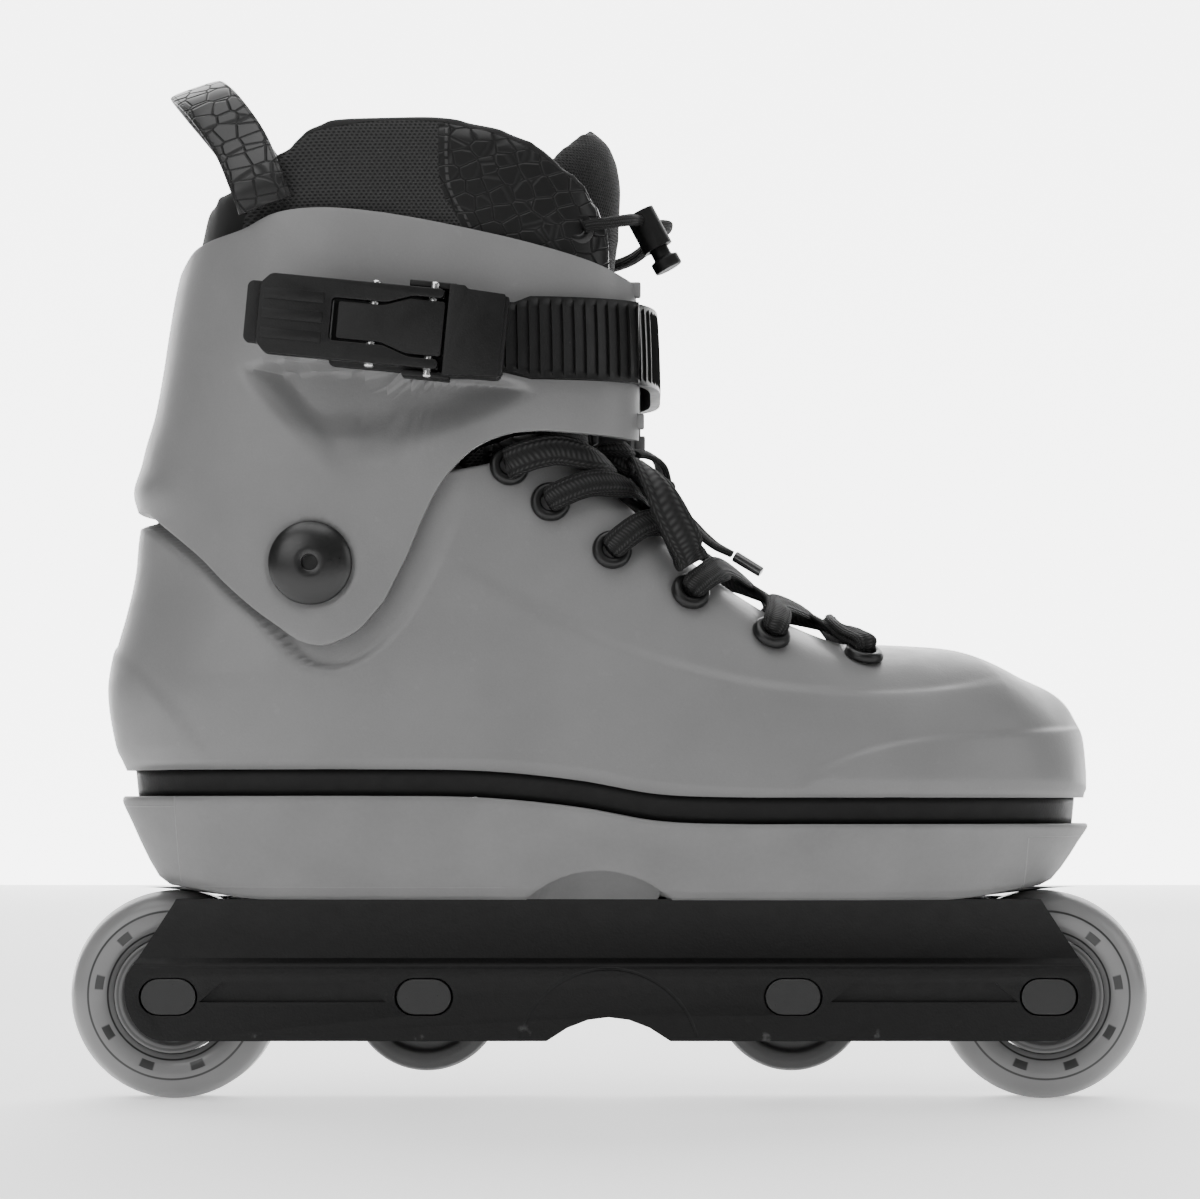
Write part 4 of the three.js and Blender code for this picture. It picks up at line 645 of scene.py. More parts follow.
wall = shell.modifiers.new("wall", "SOLIDIFY")
wall.thickness, wall.offset = 3.0 * mm, -1.0
wall.use_rim = True
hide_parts("shell")
shell_floor = lofted(120, 4, lambda t, v: plate_point([(None, 0), (3.4, 0), (3.4, 1), (None, 1)],
    lambda e: e.z + 0.4, lambda e: e.z + 3.2, t, v))
floor_plate = piece("shell_floor", both_sides(shell_floor), grey_shell, "boot")

# ---------------------------------------------------------------- eyelets
# Twelve black nylon rings pressed into the lace holes, turned and set square to the boot's surface.
eyelet_places = [[72.5, 127.5], [46, 132.8], [23, 143.2], [2, 154.8], [-14.5, 168.5], [-27, 179.5]]

def on_shell(x, z):
    """The boot's surface at a side-view place: the shares t and v, the point and its outward normal."""
    at = lambda i, j: boot_point(i / 100, j / 40)
    i, j = min(((i, j) for i in range(30, 91) for j in range(10, 41)),
               key=lambda k: hypot(at(*k).x - x, at(*k).z - z))
    p = at(i, j)
    up = p - boot_point(i / 100, j / 40 - 0.01)
    normal = up.cross(boot_point(i / 100 + 0.01, j / 40) - p).normalized()
    return i / 100, j / 40, p, normal


def placed(p, side):
    return Vector((p.x, side * p.y + swing(p.x), p.z)) * mm


eyelet_ring = rounded([
    (2.7, -2.5), (2.7, 1.5), (3.7, 2.1), (5.0, 1.9), (5.6, 0.7), (5.6, -0.6), (3.6, -0.6), (3.6, -2.5),
], 0.5, 2)
eyelet_nylon = Finish("eyelet_nylon", 0.005, 0.32, gloss=0.35)
eyelet_nylon.feed("Roughness", 0.25 + 0.2 * eyelet_nylon.noise(0.002, 4.0))
eyelet_nylon.relief(eyelet_nylon.noise(0.0005, 2.0), 0.00003)
lace_holes = {}
rings = bmesh.new()
for side in (-1, 1):
    for k, (x, z) in enumerate(eyelet_places):
        t, v, p, normal = on_shell(x, z)
        facing = Vector((normal.x, side * normal.y, normal.z))
        lace_holes[side, k] = (t, v, placed(p, side), facing)
        ring = turned(eyelet_ring, 40)
        turn = Vector((0, 1, 0)).rotation_difference(facing).to_matrix().to_4x4()
        bmesh.ops.transform(ring, matrix=Matrix.Translation(placed(p, side)) @ turn, verts=ring.verts)
        data = bpy.data.meshes.new("ring")
        ring.to_mesh(data)
        rings.from_mesh(data)
        ring.free()
eyelets = piece("eyelets", rings, eyelet_nylon, "boot")

# ---------------------------------------------------------------- heel pad, footbed and foot of the liner
# Foam under the heel, a thin moulded footbed with a textile top, and the padded foot of the liner.
dark_foam = Finish("dark_foam", 0.045, 0.9)
dark_foam.tint(0.42 + 0.16 * dark_foam.noise(0.002, 4.0))
dark_foam.relief(dark_foam.noise(0.0012, 4.0), 0.0002)
moulded("heel_shock_pad", dark_foam, "boot", 0.5)
moulded("footbed", dark_foam, "boot", 0.8)

def mesh_fabric(name, grey, size=1.3):
    """Air-mesh textile: rows of small oval cells, each row shifted by half a cell."""
    cloth = Finish(name, grey, 0.85, gloss=0.25)
    x, y, z = cloth.along()
    row = z / (size * 0.72 * mm)
    odd = (row.maths("FLOOR") % 2) * 0.5
    u = (((x + y * 0.8) / (size * mm) + odd) % 1) - 0.5
    v = (row % 1) - 0.5
    cell = 1 - ((u * u) * 5.2 + (v * v) * 4.4).root().step(0.35, 0.95)
    cloth.paint(cell * (0.6 + 0.8 * cloth.noise(0.006, 3.0)), grey * 0.25, under=grey * 1.25)
    cloth.relief((1 - cell) * 0.8 + cloth.noise(0.0004, 2.0) * 0.3, 0.0004)
    return cloth, cell


air_mesh, _ = mesh_fabric("air_mesh", 0.05)
moulded("liner_foot", air_mesh, "boot", 1.2, 60)

# ---------------------------------------------------------------- cuff
# The hinged grey cuff: one thin wall round the ankle, open in front, with a scoop pressed into each
# side under the buckle, a shallow seat for each pivot bolt, and a lip along its lower back edge.
def shaft_point(angle, z, out):
    """A point of the leg's form, angle 0 at the back and 180 in front, moved outwards in plan."""
    def plan(a):
        c, s = cos(radians(a)), sin(radians(a))
        power = 2 / 2.5 if c > 0 else 2 / 4.5
        reach = (eased(back_line, z) if c > 0 else eased(front_line, z)) - shaft_middle
        return Vector((shaft_middle + reach * abs(c) ** power, eased(half_line, z) * abs(s) ** power, z))

    p, ahead, behind = plan(angle), plan(min(angle + 0.5, 180)), plan(max(angle - 0.5, 0))
    out_way = Vector((behind.y - ahead.y, ahead.x - behind.x, 0)).normalized()
    if angle < 0.5: out_way = Vector((-1, 0, 0))
    if angle > 179.5: out_way = Vector((1, 0, 0))
    return p + out_way * out


def height_on(edge, angle, out):
    """The height at which the leg's form at an angle meets a side-view line."""
    z = 200.0
    for _ in range(24):
        z += 0.6 * (eased(edge, shaft_point(angle, z, out).x) - z)
    return z


cuff_lower = [
    [-150, 168.5], [-137, 168.6], [-131, 168], [-127, 164.5], [-113.8, 153.7], [-106.3, 146.2], [-98, 139],
    [-91.6, 134.4], [-85.3, 130.2], [-79.5, 128.8], [-74.5, 130], [-68.7, 133.2], [-63.1, 139],
    [-58.6, 146.5], [-54, 156.7], [-50.4, 165.6], [-45.9, 173.9], [-40.7, 180.2], [-35.7, 184.2],
    [-27.7, 187.4], [-19.9, 188.4], [-8.3, 188], [6.4, 187.2], [20, 187],
]
cuff_upper = [
    [-150, 230], [-126, 232.5], [-121.7, 236.6], [-116.4, 241.4], [-101.6, 245.1], [-93.3, 248.7],
    [-85, 250], [-73.9, 249.9], [-57.3, 247.9], [-29.6, 242.3], [-13, 238.2], [-1.9, 234.9], [9.2, 230.5],
    [20, 229],
]
scoop_ledge = [
    [-130, 207.4], [-101.4, 207.2], [-70.4, 207.2], [-47.2, 205.3], [-27.6, 202.2], [-18.5, 199.5],
    [10, 190],
]
scoop_left = [[170, -76], [180, -82], [192.6, -93.7], [203.3, -101.4], [215, -108]]
scoop_low = [
    [-110, 200], [-93.7, 190], [-82, 180], [-73.8, 174.9], [-48.9, 182.6], [-29.5, 192.3],
    [-19.3, 197.8], [10, 210],
]
pivot = Vector((-82, 0, 151.5))
cuff_front_angle = 159


def column_ends(angle):
    """The heights of the cuff's lower and upper edges at an angle."""
    return height_on(cuff_lower, angle, 0), height_on(cuff_upper, angle, 0)


cuff_steps = 240
cuff_ends = [column_ends(cuff_front_angle * i / cuff_steps) for i in range(cuff_steps + 1)]

def scoop(x, z):
    """How far the cuff's side is pressed in at a side-view place."""
    depth = ramp(eased(scoop_ledge, x) - z, -0.4, 2.2) * ramp(x - eased(scoop_left, z), -1, 12)
    depth *= ramp(z - eased(scoop_low, x), -1, 15) * (1 - ramp(x, -30, -14))
    return (3.4 + 3.4 * ramp(z, 185, 195)) * depth


def cuff_surface(t, v):
    z0, z1 = cuff_ends[round(t * cuff_steps)]
    z = z0 + (z1 - z0) * v
    angle = cuff_front_angle * t
    p = shaft_point(angle, z, 0)
    out = 2 * exp(-(((z - 174) / 6) ** 2)) * (1 - ramp(p.x, -134, -112))
    out -= scoop(p.x, z)
    out -= 0.6 * (1 - ramp(hypot(p.x - pivot.x, z - pivot.z), 12.2, 12.9))
    return shaft_point(angle, z, out)


def upright_sides(mesh):
    """Mirrors the inner half of a piece of the leg's form, which doesn't swing with the forefoot."""
    outer = bmesh.ops.duplicate(mesh, geom=mesh.verts[:] + mesh.edges[:] + mesh.faces[:])["geom"]
    bmesh.ops.scale(mesh, vec=(1, -1, 1), verts=[g for g in outer if isinstance(g, bmesh.types.BMVert)])
    bmesh.ops.reverse_faces(mesh, faces=[g for g in outer if isinstance(g, bmesh.types.BMFace)])
    bmesh.ops.remove_doubles(mesh, verts=mesh.verts, dist=0.02)
    bmesh.ops.scale(mesh, vec=(mm, mm, mm), verts=mesh.verts)
    bmesh.ops.recalc_face_normals(mesh, faces=mesh.faces)
    return mesh


def walled(made, thick, edge=0.5):
    """Gives an open surface its wall, inwards, with a rounded rim."""
    wall = made.modifiers.new("wall", "SOLIDIFY")
    wall.thickness, wall.offset = thick * mm, -1.0
    rim = made.modifiers.new("rim", "BEVEL")
    rim.width, rim.segments, rim.limit_method, rim.angle_limit = edge * mm, 2, "ANGLE", radians(55)


cuff = piece("cuff_visual", upright_sides(lofted(cuff_steps, 84, cuff_surface)), grey_shell, "cuff")
walled(cuff, 3.0)
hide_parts("cuff")

# The front wings carry small moulded teeth that key them to the tongue.
teeth = bmesh.new()
for side in (-1, 1):
    for height in (192.5, 219, 229.5):
        tooth = bmesh.ops.create_cube(teeth, size=1)["verts"]
        at = shaft_point(cuff_front_angle - 1.2, height, -1.4)
        bmesh.ops.scale(teeth, vec=(3.2 * mm, 2.4 * mm, 4.4 * mm), verts=tooth)
        bmesh.ops.translate(teeth, vec=Vector((at.x + 1.4, side * at.y, height)) * mm, verts=tooth)
bmesh.ops.bevel(
    teeth, geom=teeth.edges, offset=0.5 * mm, segments=2, profile=0.5, affect="EDGES", material=-1
)
wing_teeth = piece("cuff_wing_teeth", teeth, grey_shell, "cuff")

# Each pivot bolt has a broad domed head with a small socket.
for side, sign in (("outer", -1), ("inner", 1)):
    name = "cuff_pivot_bolt_" + side
    ends = sorted(abs(corner.y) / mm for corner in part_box(name))
    top, tip = ends[1], ends[0]
    profile = [(0.02, top - 2.4), (2.3, top - 2.4), (2.3, top - 0.3), (2.6, top - 0.1), (4.5, top - 0.25),
               (6.5, top - 0.6), (8.5, top - 1.15), (10.2, top - 1.9), (11.2, top - 2.6), (11.6, top - 3.1),
               (11.6, top - 3.6), (4.7, top - 3.6), (4.7, tip), (0.02, tip)]
    bolt = moved(turned([(r, sign * y) for r, y in profile]), pivot.x * mm, pivot.z * mm)
    bolt = piece(name + "_visual", bolt, black_steel, "boot")
    bolt.data.set_sharp_from_angle(angle=radians(40))
    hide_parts(name)

# ---------------------------------------------------------------- padded collar
# The liner's collar: foam under air mesh, bound along its rim, with a leather patch on each side of
# the tongue. Cloth simulation swells it from a remeshed, smoothed copy of the CAD solid.
def swollen(node, voxel, pressure, cap, frames=20):
    """A merged copy of a soft CAD solid, remeshed and blown up a little as stuffed fabric."""
    mesh = bmesh.new()
    mesh.from_mesh(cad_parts[node].data)
    bmesh.ops.remove_doubles(mesh, verts=mesh.verts, dist=2e-6)
    made = piece(node + "_visual", mesh)
    remesh = made.modifiers.new("remesh", "REMESH")
    remesh.mode, remesh.voxel_size = "VOXEL", voxel * mm
    fair = made.modifiers.new("fair", "SMOOTH")
    fair.factor, fair.iterations = 0.5, 6
    settle(made)
    start = [v.co.copy() for v in made.data.vertices]
    cloth = made.modifiers.new("stuffing", "CLOTH")
    cloth.settings.use_pressure = True
    cloth.settings.uniform_pressure_force = pressure
    cloth.settings.effector_weights.gravity = 0
    for number in range(1, frames + 1):
        bpy.context.scene.frame_set(number)
    settle(made)
    for vert, home in zip(made.data.vertices, start):
        step = vert.co - home
        if step.length > cap * mm:
            vert.co = home + step.normalized() * cap * mm
    bpy.context.scene.frame_set(1)
    finer = made.modifiers.new("finer", "SUBSURF")
    finer.levels = finer.render_levels = 1
    made.data.shade_smooth()
    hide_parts(node)
    return made


def settle(made):
    """Bakes the modifiers so far into the mesh."""
    shaped = bpy.data.meshes.new_from_object(made.evaluated_get(bpy.context.evaluated_depsgraph_get()))
    made.modifiers.clear()
    made.data = shaped


def marked(made, name, value):
    """Stores a number at each point of a mesh, for its material to read."""
    layer = made.data.attributes.new(name, "FLOAT", "POINT")
    for k, vert in enumerate(made.data.vertices):
        layer.data[k].value = value(vert.co / mm)


collar_top = [
    [-150, 254], [-118, 256], [-108, 259], [-97, 264], [-90, 270.5], [-84, 275], [-77, 276.9],
    [-57.5, 278.9], [-38, 276.7], [-25.6, 272.8], [-18.3, 268.8], [-10.3, 263.3], [-3.9, 257], [0.8, 250.6],
    [3.3, 242.9], [6.4, 233], [20, 230],
]
patch_edge = [[240, -38], [247.5, -41.4], [253.9, -45.3], [260.8, -46.8], [280, -46.8]]
collar = swollen("liner_collar", 3.0, 3.0, 1.4)
for vert in collar.data.vertices:
    p = vert.co / mm
    if abs(p.y) > eased(half_line, p.z) - 8.8:  # its outer skin gives way to the cuff's scoops
        vert.co.y -= scoop(p.x, p.z) * mm * (1 if p.y > 0 else -1)
marked(collar, "below_rim", lambda p: eased(collar_top, p.x) - p.z)
marked(collar, "into_patch", lambda p: p.x - eased(patch_edge, p.z))
marked(collar, "from_back", lambda p: p.x + 104 - 0.25 * (p.z - 240))

collar_cloth, cell = mesh_fabric("collar_mesh", 0.024)

def attribute(finish, name):
    return finish.node("ShaderNodeAttribute", {"attribute_name": name}, output=2)


def crackled(finish, across=0.0058):
    """Embossed hide: irregular glossy scales with dark creases between them."""
    x, y, z = finish.along()
    where = finish.node("ShaderNodeCombineXYZ", (), {0: x + 0.35 * z, 1: y, 2: z * 1.25 - 0.3 * x})
    sockets = {"Vector": where, "Scale": 1 / across, "Randomness": 0.45}
    crease = finish.node("ShaderNodeTexVoronoi", {"feature": "DISTANCE_TO_EDGE"}, sockets)
    return crease.step(0.0, 0.09)


rim = 1 - attribute(collar_cloth, "below_rim").step(3.2, 3.6)
patch = attribute(collar_cloth, "into_patch").step(-0.2, 0.2)
back = 1 - attribute(collar_cloth, "from_back").step(-0.3, 0.3)
seam = 1 - abs(attribute(collar_cloth, "into_patch") - 2.2).step(0.25, 0.6)
stitch = seam * (collar_cloth.along()[2] / 0.0022).maths("FRACT").step(0.25, 0.4)
scale = crackled(collar_cloth)
plain = (rim + back).maths("MINIMUM", 1)
hide = patch * (1 - rim)
open_mesh = (1 - plain) * (1 - hide)
shade = 0.005 + open_mesh * (0.024 - 0.02 * cell) + hide * scale * 0.005 + stitch * hide * 0.03
collar_cloth.paint(shade, 1.0, under=0.0)
collar_cloth.feed("Roughness", 0.85 - 0.52 * hide * scale - 0.12 * plain)
collar_cloth.relief(open_mesh * (1 - cell) * 0.8 + hide * scale * 0.5 + plain * 1.2 + stitch * 0.4, 0.0005)
collar.data.materials.append(collar_cloth.material)
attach(collar, "cuff")

# ---------------------------------------------------------------- tongue
# The padded tongue under the lacing, in the same black air mesh as the collar.
tongue = swollen("tongue", 2.5, 3.0, 1.2)
tongue_cloth, _ = mesh_fabric("tongue_mesh", 0.012)
tongue.data.materials.append(tongue_cloth.material)
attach(tongue, "boot")

# ---------------------------------------------------------------- heel pull loop
# A stitched band of embossed hide that stands up behind the collar, sewn down inside the cuff.
def strip(route, faces, width, thick, samples, round_steps=40, ribs=0.0, pinch=(0.0, 0.0)):
    """A woven or cut band along route points, each with the way its face looks, with a flat oval section."""
    mesh = bmesh.new()
    bmesh.ops.create_grid(mesh, x_segments=samples, y_segments=round_steps, size=0.5)
    grid = {vert: (vert.co.x + 0.5, vert.co.y + 0.5) for vert in mesh.verts}
    rings = []
    for k in range(samples + 1):
        t = k / samples
        at = spline(route, t)
        ahead, behind = spline(route, min(t + 0.004, 1)), spline(route, max(t - 0.004, 0))
        along = (ahead - behind).normalized()
        across = along.cross(spline(faces, t).normalized()).normalized()
        gathered = 1 - pinch[0] * (1 - ramp(t, 0, 0.16)) - pinch[1] * (1 - ramp(1 - t, 0, 0.16))
        rings.append((at, across * gathered, across.cross(along)))
    length = sum((rings[k + 1][0] - rings[k][0]).length for k in range(samples))
    layer = mesh.loops.layers.uv.new("weave")
    for face in mesh.faces:
        for loop in face.loops:
            t, v = grid[loop.vert]
            loop[layer].uv = (t * length / width, v)
    for vert, (t, v) in grid.items():
        at, across, up = rings[round(t * samples)]
        turn = 2 * pi * v
        flat = abs(cos(turn)) ** 0.55 * (1 if cos(turn) > 0 else -1)
        high = abs(sin(turn)) ** 0.8 * (1 if sin(turn) > 0 else -1)
        high *= 1 + ribs * cos(flat * 7 * pi)
        vert.co = (at + across * flat * width / 2 + up * high * thick / 2) * mm
    bmesh.ops.remove_doubles(mesh, verts=mesh.verts, dist=1e-6)
    bmesh.ops.holes_fill(mesh, edges=[edge for edge in mesh.edges if edge.is_boundary])
    bmesh.ops.recalc_face_normals(mesh, faces=mesh.faces)
    return mesh


loop_foot = eased(half_line, 250) - 2.5
loop_half = [Vector(p) for p in (
    (-95, -loop_foot + 0.6, 251), (-97.5, -loop_foot, 258), (-103, -35, 270), (-111, -26, 281.5),
    (-117.5, -13, 288.8),
)]
loop_route = loop_half + [Vector((-119.6, 0, 291))] + [Vector((p.x, -p.y, p.z)) for p in reversed(loop_half)]
lean = Vector((0.947, 0, 0.32))
loop_faces = []
for k, p in enumerate(loop_route):
    along = loop_route[min(k + 1, len(loop_route) - 1)] - loop_route[max(k - 1, 0)]
    loop_faces.append(lean.cross(along).normalized())
pull = piece("heel_pull_loop_visual", strip(loop_route, loop_faces, 15.4, 1.9, 160, 44), None, "cuff")
loop_hide = Finish("stitched_hide", 0.008, 0.35, gloss=0.3)
scales = crackled(loop_hide, 0.006)
v = loop_hide.along("UV")[1]
u = loop_hide.along("UV")[0]
edge_seam = 1 - abs(abs((v % 0.5) - 0.25) - 0.145).step(0.006, 0.014)
thread = edge_seam * (u * 6 % 1).step(0.2, 0.3)
loop_hide.paint(scales * (1 - edge_seam), 0.014, under=0.006)
loop_hide.feed("Roughness", 0.7 - 0.36 * scales + 0.2 * thread)
loop_hide.relief(scales * 0.8 - edge_seam * 0.5 + thread * 0.6, 0.0004)
pull.data.materials.append(loop_hide.material)
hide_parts("heel_pull_loop")

# ---------------------------------------------------------------- ladder strap
# A springy black strap screwed to the inner side of the cuff, ribbed like a saw on its outer face, so
# that the buckle's pawl can draw it in tooth by tooth.
strap_from, strap_to, strap_half, strap_lift, strap_thick = 84, 266, 11.3, 2.9, 3.0
rib_pitch = 3.1

def strap_middle(x):
    return 213.4 + 0.06 * max(0, -25 - x)


def strap_place(angle, rise, out):
    """A place on the strap's run, from the inner side round the front to the outer side."""
    folded = angle if angle <= 180 else 360 - angle
    x = shaft_point(folded, 213, strap_lift).x
    narrow = 1 - 0.16 * min(max((-21 - x) / 4.5, 0), 1)
    z = strap_middle(x) + rise * narrow
    p = shaft_point(folded, z, out)
    p = shaft_point(folded, z, out - 2.2 * ramp(p.x, 8.6, 10.6))
    return Vector((p.x, p.y if angle <= 180 else -p.y, z))


strap_steps = 920
strap_angles = [strap_from + (strap_to - strap_from) * n / strap_steps for n in range(strap_steps + 1)]
strap_run = [0.0]
for k in range(strap_steps):
    a, b = (strap_place(angle, 0, strap_lift) for angle in strap_angles[k:k + 2])
    strap_run.append(strap_run[-1] + (b - a).length)

def strap_surface(t, v):
    """One lap round the strap's section: the ribbed outer face, then the plain inner one."""
    k = round(t * strap_steps)
    angle = strap_from + (strap_to - strap_from) * t
    if v <= 0.5:
        rise = strap_half * (4 * v - 1)
        tooth = (strap_run[k] / rib_pitch) % 1
        inside = (1 - ramp(abs(rise), strap_half - 1.6, strap_half - 0.9)) * ramp(strap_run[k], 26, 27)
        worn = 0.9 * inside * (1 - tooth) + 0.15 * (1 - inside)
        return strap_place(angle, rise, strap_lift + strap_thick - worn)
    return strap_place(angle, strap_half * (3 - 4 * v), strap_lift)


def closed(mesh):
    """Merges a loft's seam, caps its ends and turns its faces outwards, in metres."""
    bmesh.ops.scale(mesh, vec=(mm, mm, mm), verts=mesh.verts)
    bmesh.ops.remove_doubles(mesh, verts=mesh.verts, dist=2e-6)
    bmesh.ops.holes_fill(mesh, edges=[edge for edge in mesh.edges if edge.is_boundary])
    bmesh.ops.recalc_face_normals(mesh, faces=mesh.faces)
    return mesh


strap_nylon = Finish("strap_nylon", 0.004, 0.4, gloss=0.28)
strap_nylon.feed("Roughness", 0.32 + 0.22 * strap_nylon.noise(0.003, 5.0))
strap_nylon.relief(strap_nylon.noise(0.0006, 2.0), 0.00004)
strap = piece("ladder_strap_visual", closed(lofted(strap_steps, 48, strap_surface)), strap_nylon, "cuff")
strap.data.set_sharp_from_angle(angle=radians(35))
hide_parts("ladder_strap")
moulded("strap_screw", black_steel, "cuff", 0.3)
moulded("strap_washer", plain_nylon, "cuff", 0.3)

# ---------------------------------------------------------------- ratchet buckle
# A glass-nylon lever on a steel pin in a boxed base: pulled out, it draws the strap in by its pawl,
# and the tab at its end lets the strap go. Built level, outwards along -Y, then set at its tilt.
buckle_z = strap_middle(-48)
buckle_place = Matrix.Translation(Vector((-48, -eased(half_line, buckle_z) - 0.3, buckle_z)) * mm)
buckle_place = buckle_place @ Matrix.Rotation(radians(5.5), 4, "Y") @ Matrix.Scale(mm, 4)

def slab(outline, inner, outer, edge, segments=3, mesh=None):
    """A side-view outline in millimetres, extruded from y = inner to y = outer, with rounded edges."""
    slab_mesh = bmesh.new()
    face = slab_mesh.faces.new([slab_mesh.verts.new((x, inner, z)) for x, z in outline])
    top = bmesh.ops.extrude_face_region(slab_mesh, geom=[face])["geom"]
    top_verts = [g for g in top if isinstance(g, bmesh.types.BMVert)]
    bmesh.ops.translate(slab_mesh, vec=(0, outer - inner, 0), verts=top_verts)
    bmesh.ops.recalc_face_normals(slab_mesh, faces=slab_mesh.faces)
    sharp = [e for e in slab_mesh.edges if e.calc_face_angle(0) > radians(15)]
    bmesh.ops.bevel(slab_mesh, geom=sharp, offset=edge, segments=segments, profile=0.5, affect="EDGES",
                    material=-1, clamp_overlap=True)
    if mesh is None: return slab_mesh
    data = bpy.data.meshes.new("slab")
    slab_mesh.to_mesh(data)
    slab_mesh.free()
    mesh.from_mesh(data)
    return mesh


def corner_arcs(points, radius, steps=4):
    return [(p.x, p.y) for p in rounded(points, radius, steps)]


def set_buckle(name, mesh, body, *nodes):
    bmesh.ops.transform(mesh, matrix=buckle_place, verts=mesh.verts)
    made = piece(name, mesh, buckle_nylon, body)
    made.data.set_sharp_from_angle(angle=radians(40))
    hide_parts(*nodes)
    return made


buckle_nylon = Finish("buckle_nylon", 0.004, 0.42, gloss=0.28)
buckle_nylon.feed("Roughness", 0.34 + 0.2 * buckle_nylon.noise(0.004, 5.0))
buckle_nylon.relief(buckle_nylon.noise(0.0006, 3.0), 0.00006)

base = slab(corner_arcs([(-28, -11.8), (-28, 11.8), (20, 11.4), (20, -11.4)], 2), 0, -2, 0.4)
for z in (12.3, -12.3):
    slab([(-7, z - 0.9), (-7, z + 0.9), (6, z + 0.9), (6, z - 0.9)], -1.5, -9.6, 0.35, mesh=base)
bridge = [(4.2, -12.6), (4.2, 12.6), (8.4, 12.6), (9.2, 11.7), (19.6, 11.2), (19.6, -11.4), (8.8, -12)]
slab(corner_arcs(bridge, 0.6), -8, -12.3, 0.6, mesh=base)
slab([(5, 10.2), (5, 12.2), (19, 11), (19, 9.6)], -1.5, -9, 0.35, mesh=base)
slab([(5, -12.2), (5, -10.2), (19, -9.6), (19, -11.2)], -1.5, -9, 0.35, mesh=base)
slab(corner_arcs([(17.6, -11.2), (17.6, 11), (20.6, 10.6), (20.6, -10.8)], 0.6), -8, -11.6, 0.5, mesh=base)
set_buckle("buckle_base_visual", base, "cuff", "buckle_base")

lever_outline = corner_arcs([
    (2.8, 11), (-44.6, 11), (-47.4, 8), (-47.4, -8), (-44.6, -11), (2.8, -11), (2.8, -8.4), (-5.6, -8.4),
    (-12.6, -5.9), (-27.5, -5.9), (-27.5, 5.9), (-12.6, 5.9), (-5.6, 8.4), (2.8, 8.4),
], 1.2, 3)
lever = slab(lever_outline, -8.9, -12.6, 0.9, 4)
for z in (9.7, -9.7):
    slab([(-3, z - 1.2), (-3, z + 1.2), (3, z + 1.2), (3, z - 1.2)], -6, -10, 0.3, mesh=lever)
for z in (5.4, 0, -5.4):
    grip = corner_arcs([(-46.2, z - 1.5), (-46.2, z + 1.5), (-29.6, z + 1.5), (-29.6, z - 1.5)], 0.4)
    slab(grip, -12.2, -12.82, 0.12, 2, mesh=lever)
slab([(-45.6, -9.6), (-45.6, 9.6), (-30, 9.6), (-30, -9.6)], -7.6, -9.2, 0.4, mesh=lever)
set_buckle("buckle_lever_visual", lever, "buckle_lever", "buckle_lever")

tongue_outline = corner_arcs([
    (-25.6, -5.1), (-25.6, 5.1), (-13.4, 5.1), (-6.4, 7.5), (3.4, 7.5), (3.4, -7.5), (-6.4, -7.5),
    (-13.4, -5.1),
], 0.8, 3)
drive = slab(tongue_outline, -9.4, -12.1, 0.5)
slab([(-2, -5), (-2, 5), (2.4, 5), (2.4, -5)], -6.8, -10, 0.3, mesh=drive)
set_buckle("buckle_drive_pawl_visual", drive, "buckle_pawl", "buckle_drive_pawl")

release_outline = [(-50.8, -7.4), (-50.8, 7.4), (-49.8, 8.5), (-45, 8.5), (-45, -8.5), (-49.8, -8.5)]
release = slab(corner_arcs(release_outline, 0.8), -9.6, -11.9, 0.6)
set_buckle("buckle_release_tab_visual", release, "buckle_release", "buckle_release_tab")
moulded("buckle_lever_pin", bearing_steel, "cuff", 0.6, 40, 3)
moulded("buckle_pawl_pin", bearing_steel, "buckle_lever", 0.6, 40, 3)

# ---------------------------------------------------------------- lace
# A flat woven lace, crossed through six pairs of holes and tied in a bow over the tongue. Its loops
# and tipped ends lie free; the crossed strands are drawn tight over the edges of the boot.
lace_thick, lace_out = 1.7, Vector((0.75, 0, 0.66))
edge_shares = [0.66, 0.605, 0.555, 0.505, 0.468, 0.44]

def woven(name):
    """Flat black braid: lengthwise ribs, each crossed by short slanting threads."""
    braid = Finish(name, 0.005, 0.8, gloss=0.15)
    u, v, _ = braid.along("UV")
    thread = ((u * 34 + abs((v * 14) % 2 - 1) * 5).wave() + 1) * 0.5
    rib = ((v * 14 * 2 * pi).wave() + 1) * 0.5
    braid.paint(thread * rib, 0.04, under=0.012)
    braid.feed("Roughness", 0.75 + 0.15 * thread)
    braid.relief(thread * 0.5 + rib * 0.8, 0.00035)
    return braid


braid = woven("lace_braid")

def lace_start(side, k, layer):
    """A strand from inside its hole, over the boot, to the throat's edge."""
    t, v, hole, facing = lace_holes[side, k]
    over = placed(boot_point((t + edge_shares[k]) / 2, (v + 1) / 2), side) / mm
    edge = placed(boot_point(edge_shares[k], 1), side) / mm
    lift = layer * 0.8
    hole = hole / mm
    return [
        (hole - facing * 1.6, facing), (hole + facing * (2.3 + lift), facing),
        (over + facing * (2.5 + lift), facing),
        (edge + Vector((0.3, 0, 0.95)) * (2.4 + lift), facing.lerp(lace_out, 0.5)),
    ]


lacing = bmesh.new()

def lay(start, end, width=7.6, squeeze=(0.45, 0.45)):
    middle = (start[-1][0] + end[-1][0]) / 2 + lace_out * 1.4
    stops = start + [(middle, lace_out)] + end[::-1]
    stripe(stops, width, squeeze)


def stripe(stops, width, squeeze, samples=90):
    band = strip([p for p, _ in stops], [f for _, f in stops], width, lace_thick, samples, 36, 0.12, squeeze)
    data = bpy.data.meshes.new("strand")
    band.to_mesh(data)
    band.free()
    lacing.from_mesh(data)


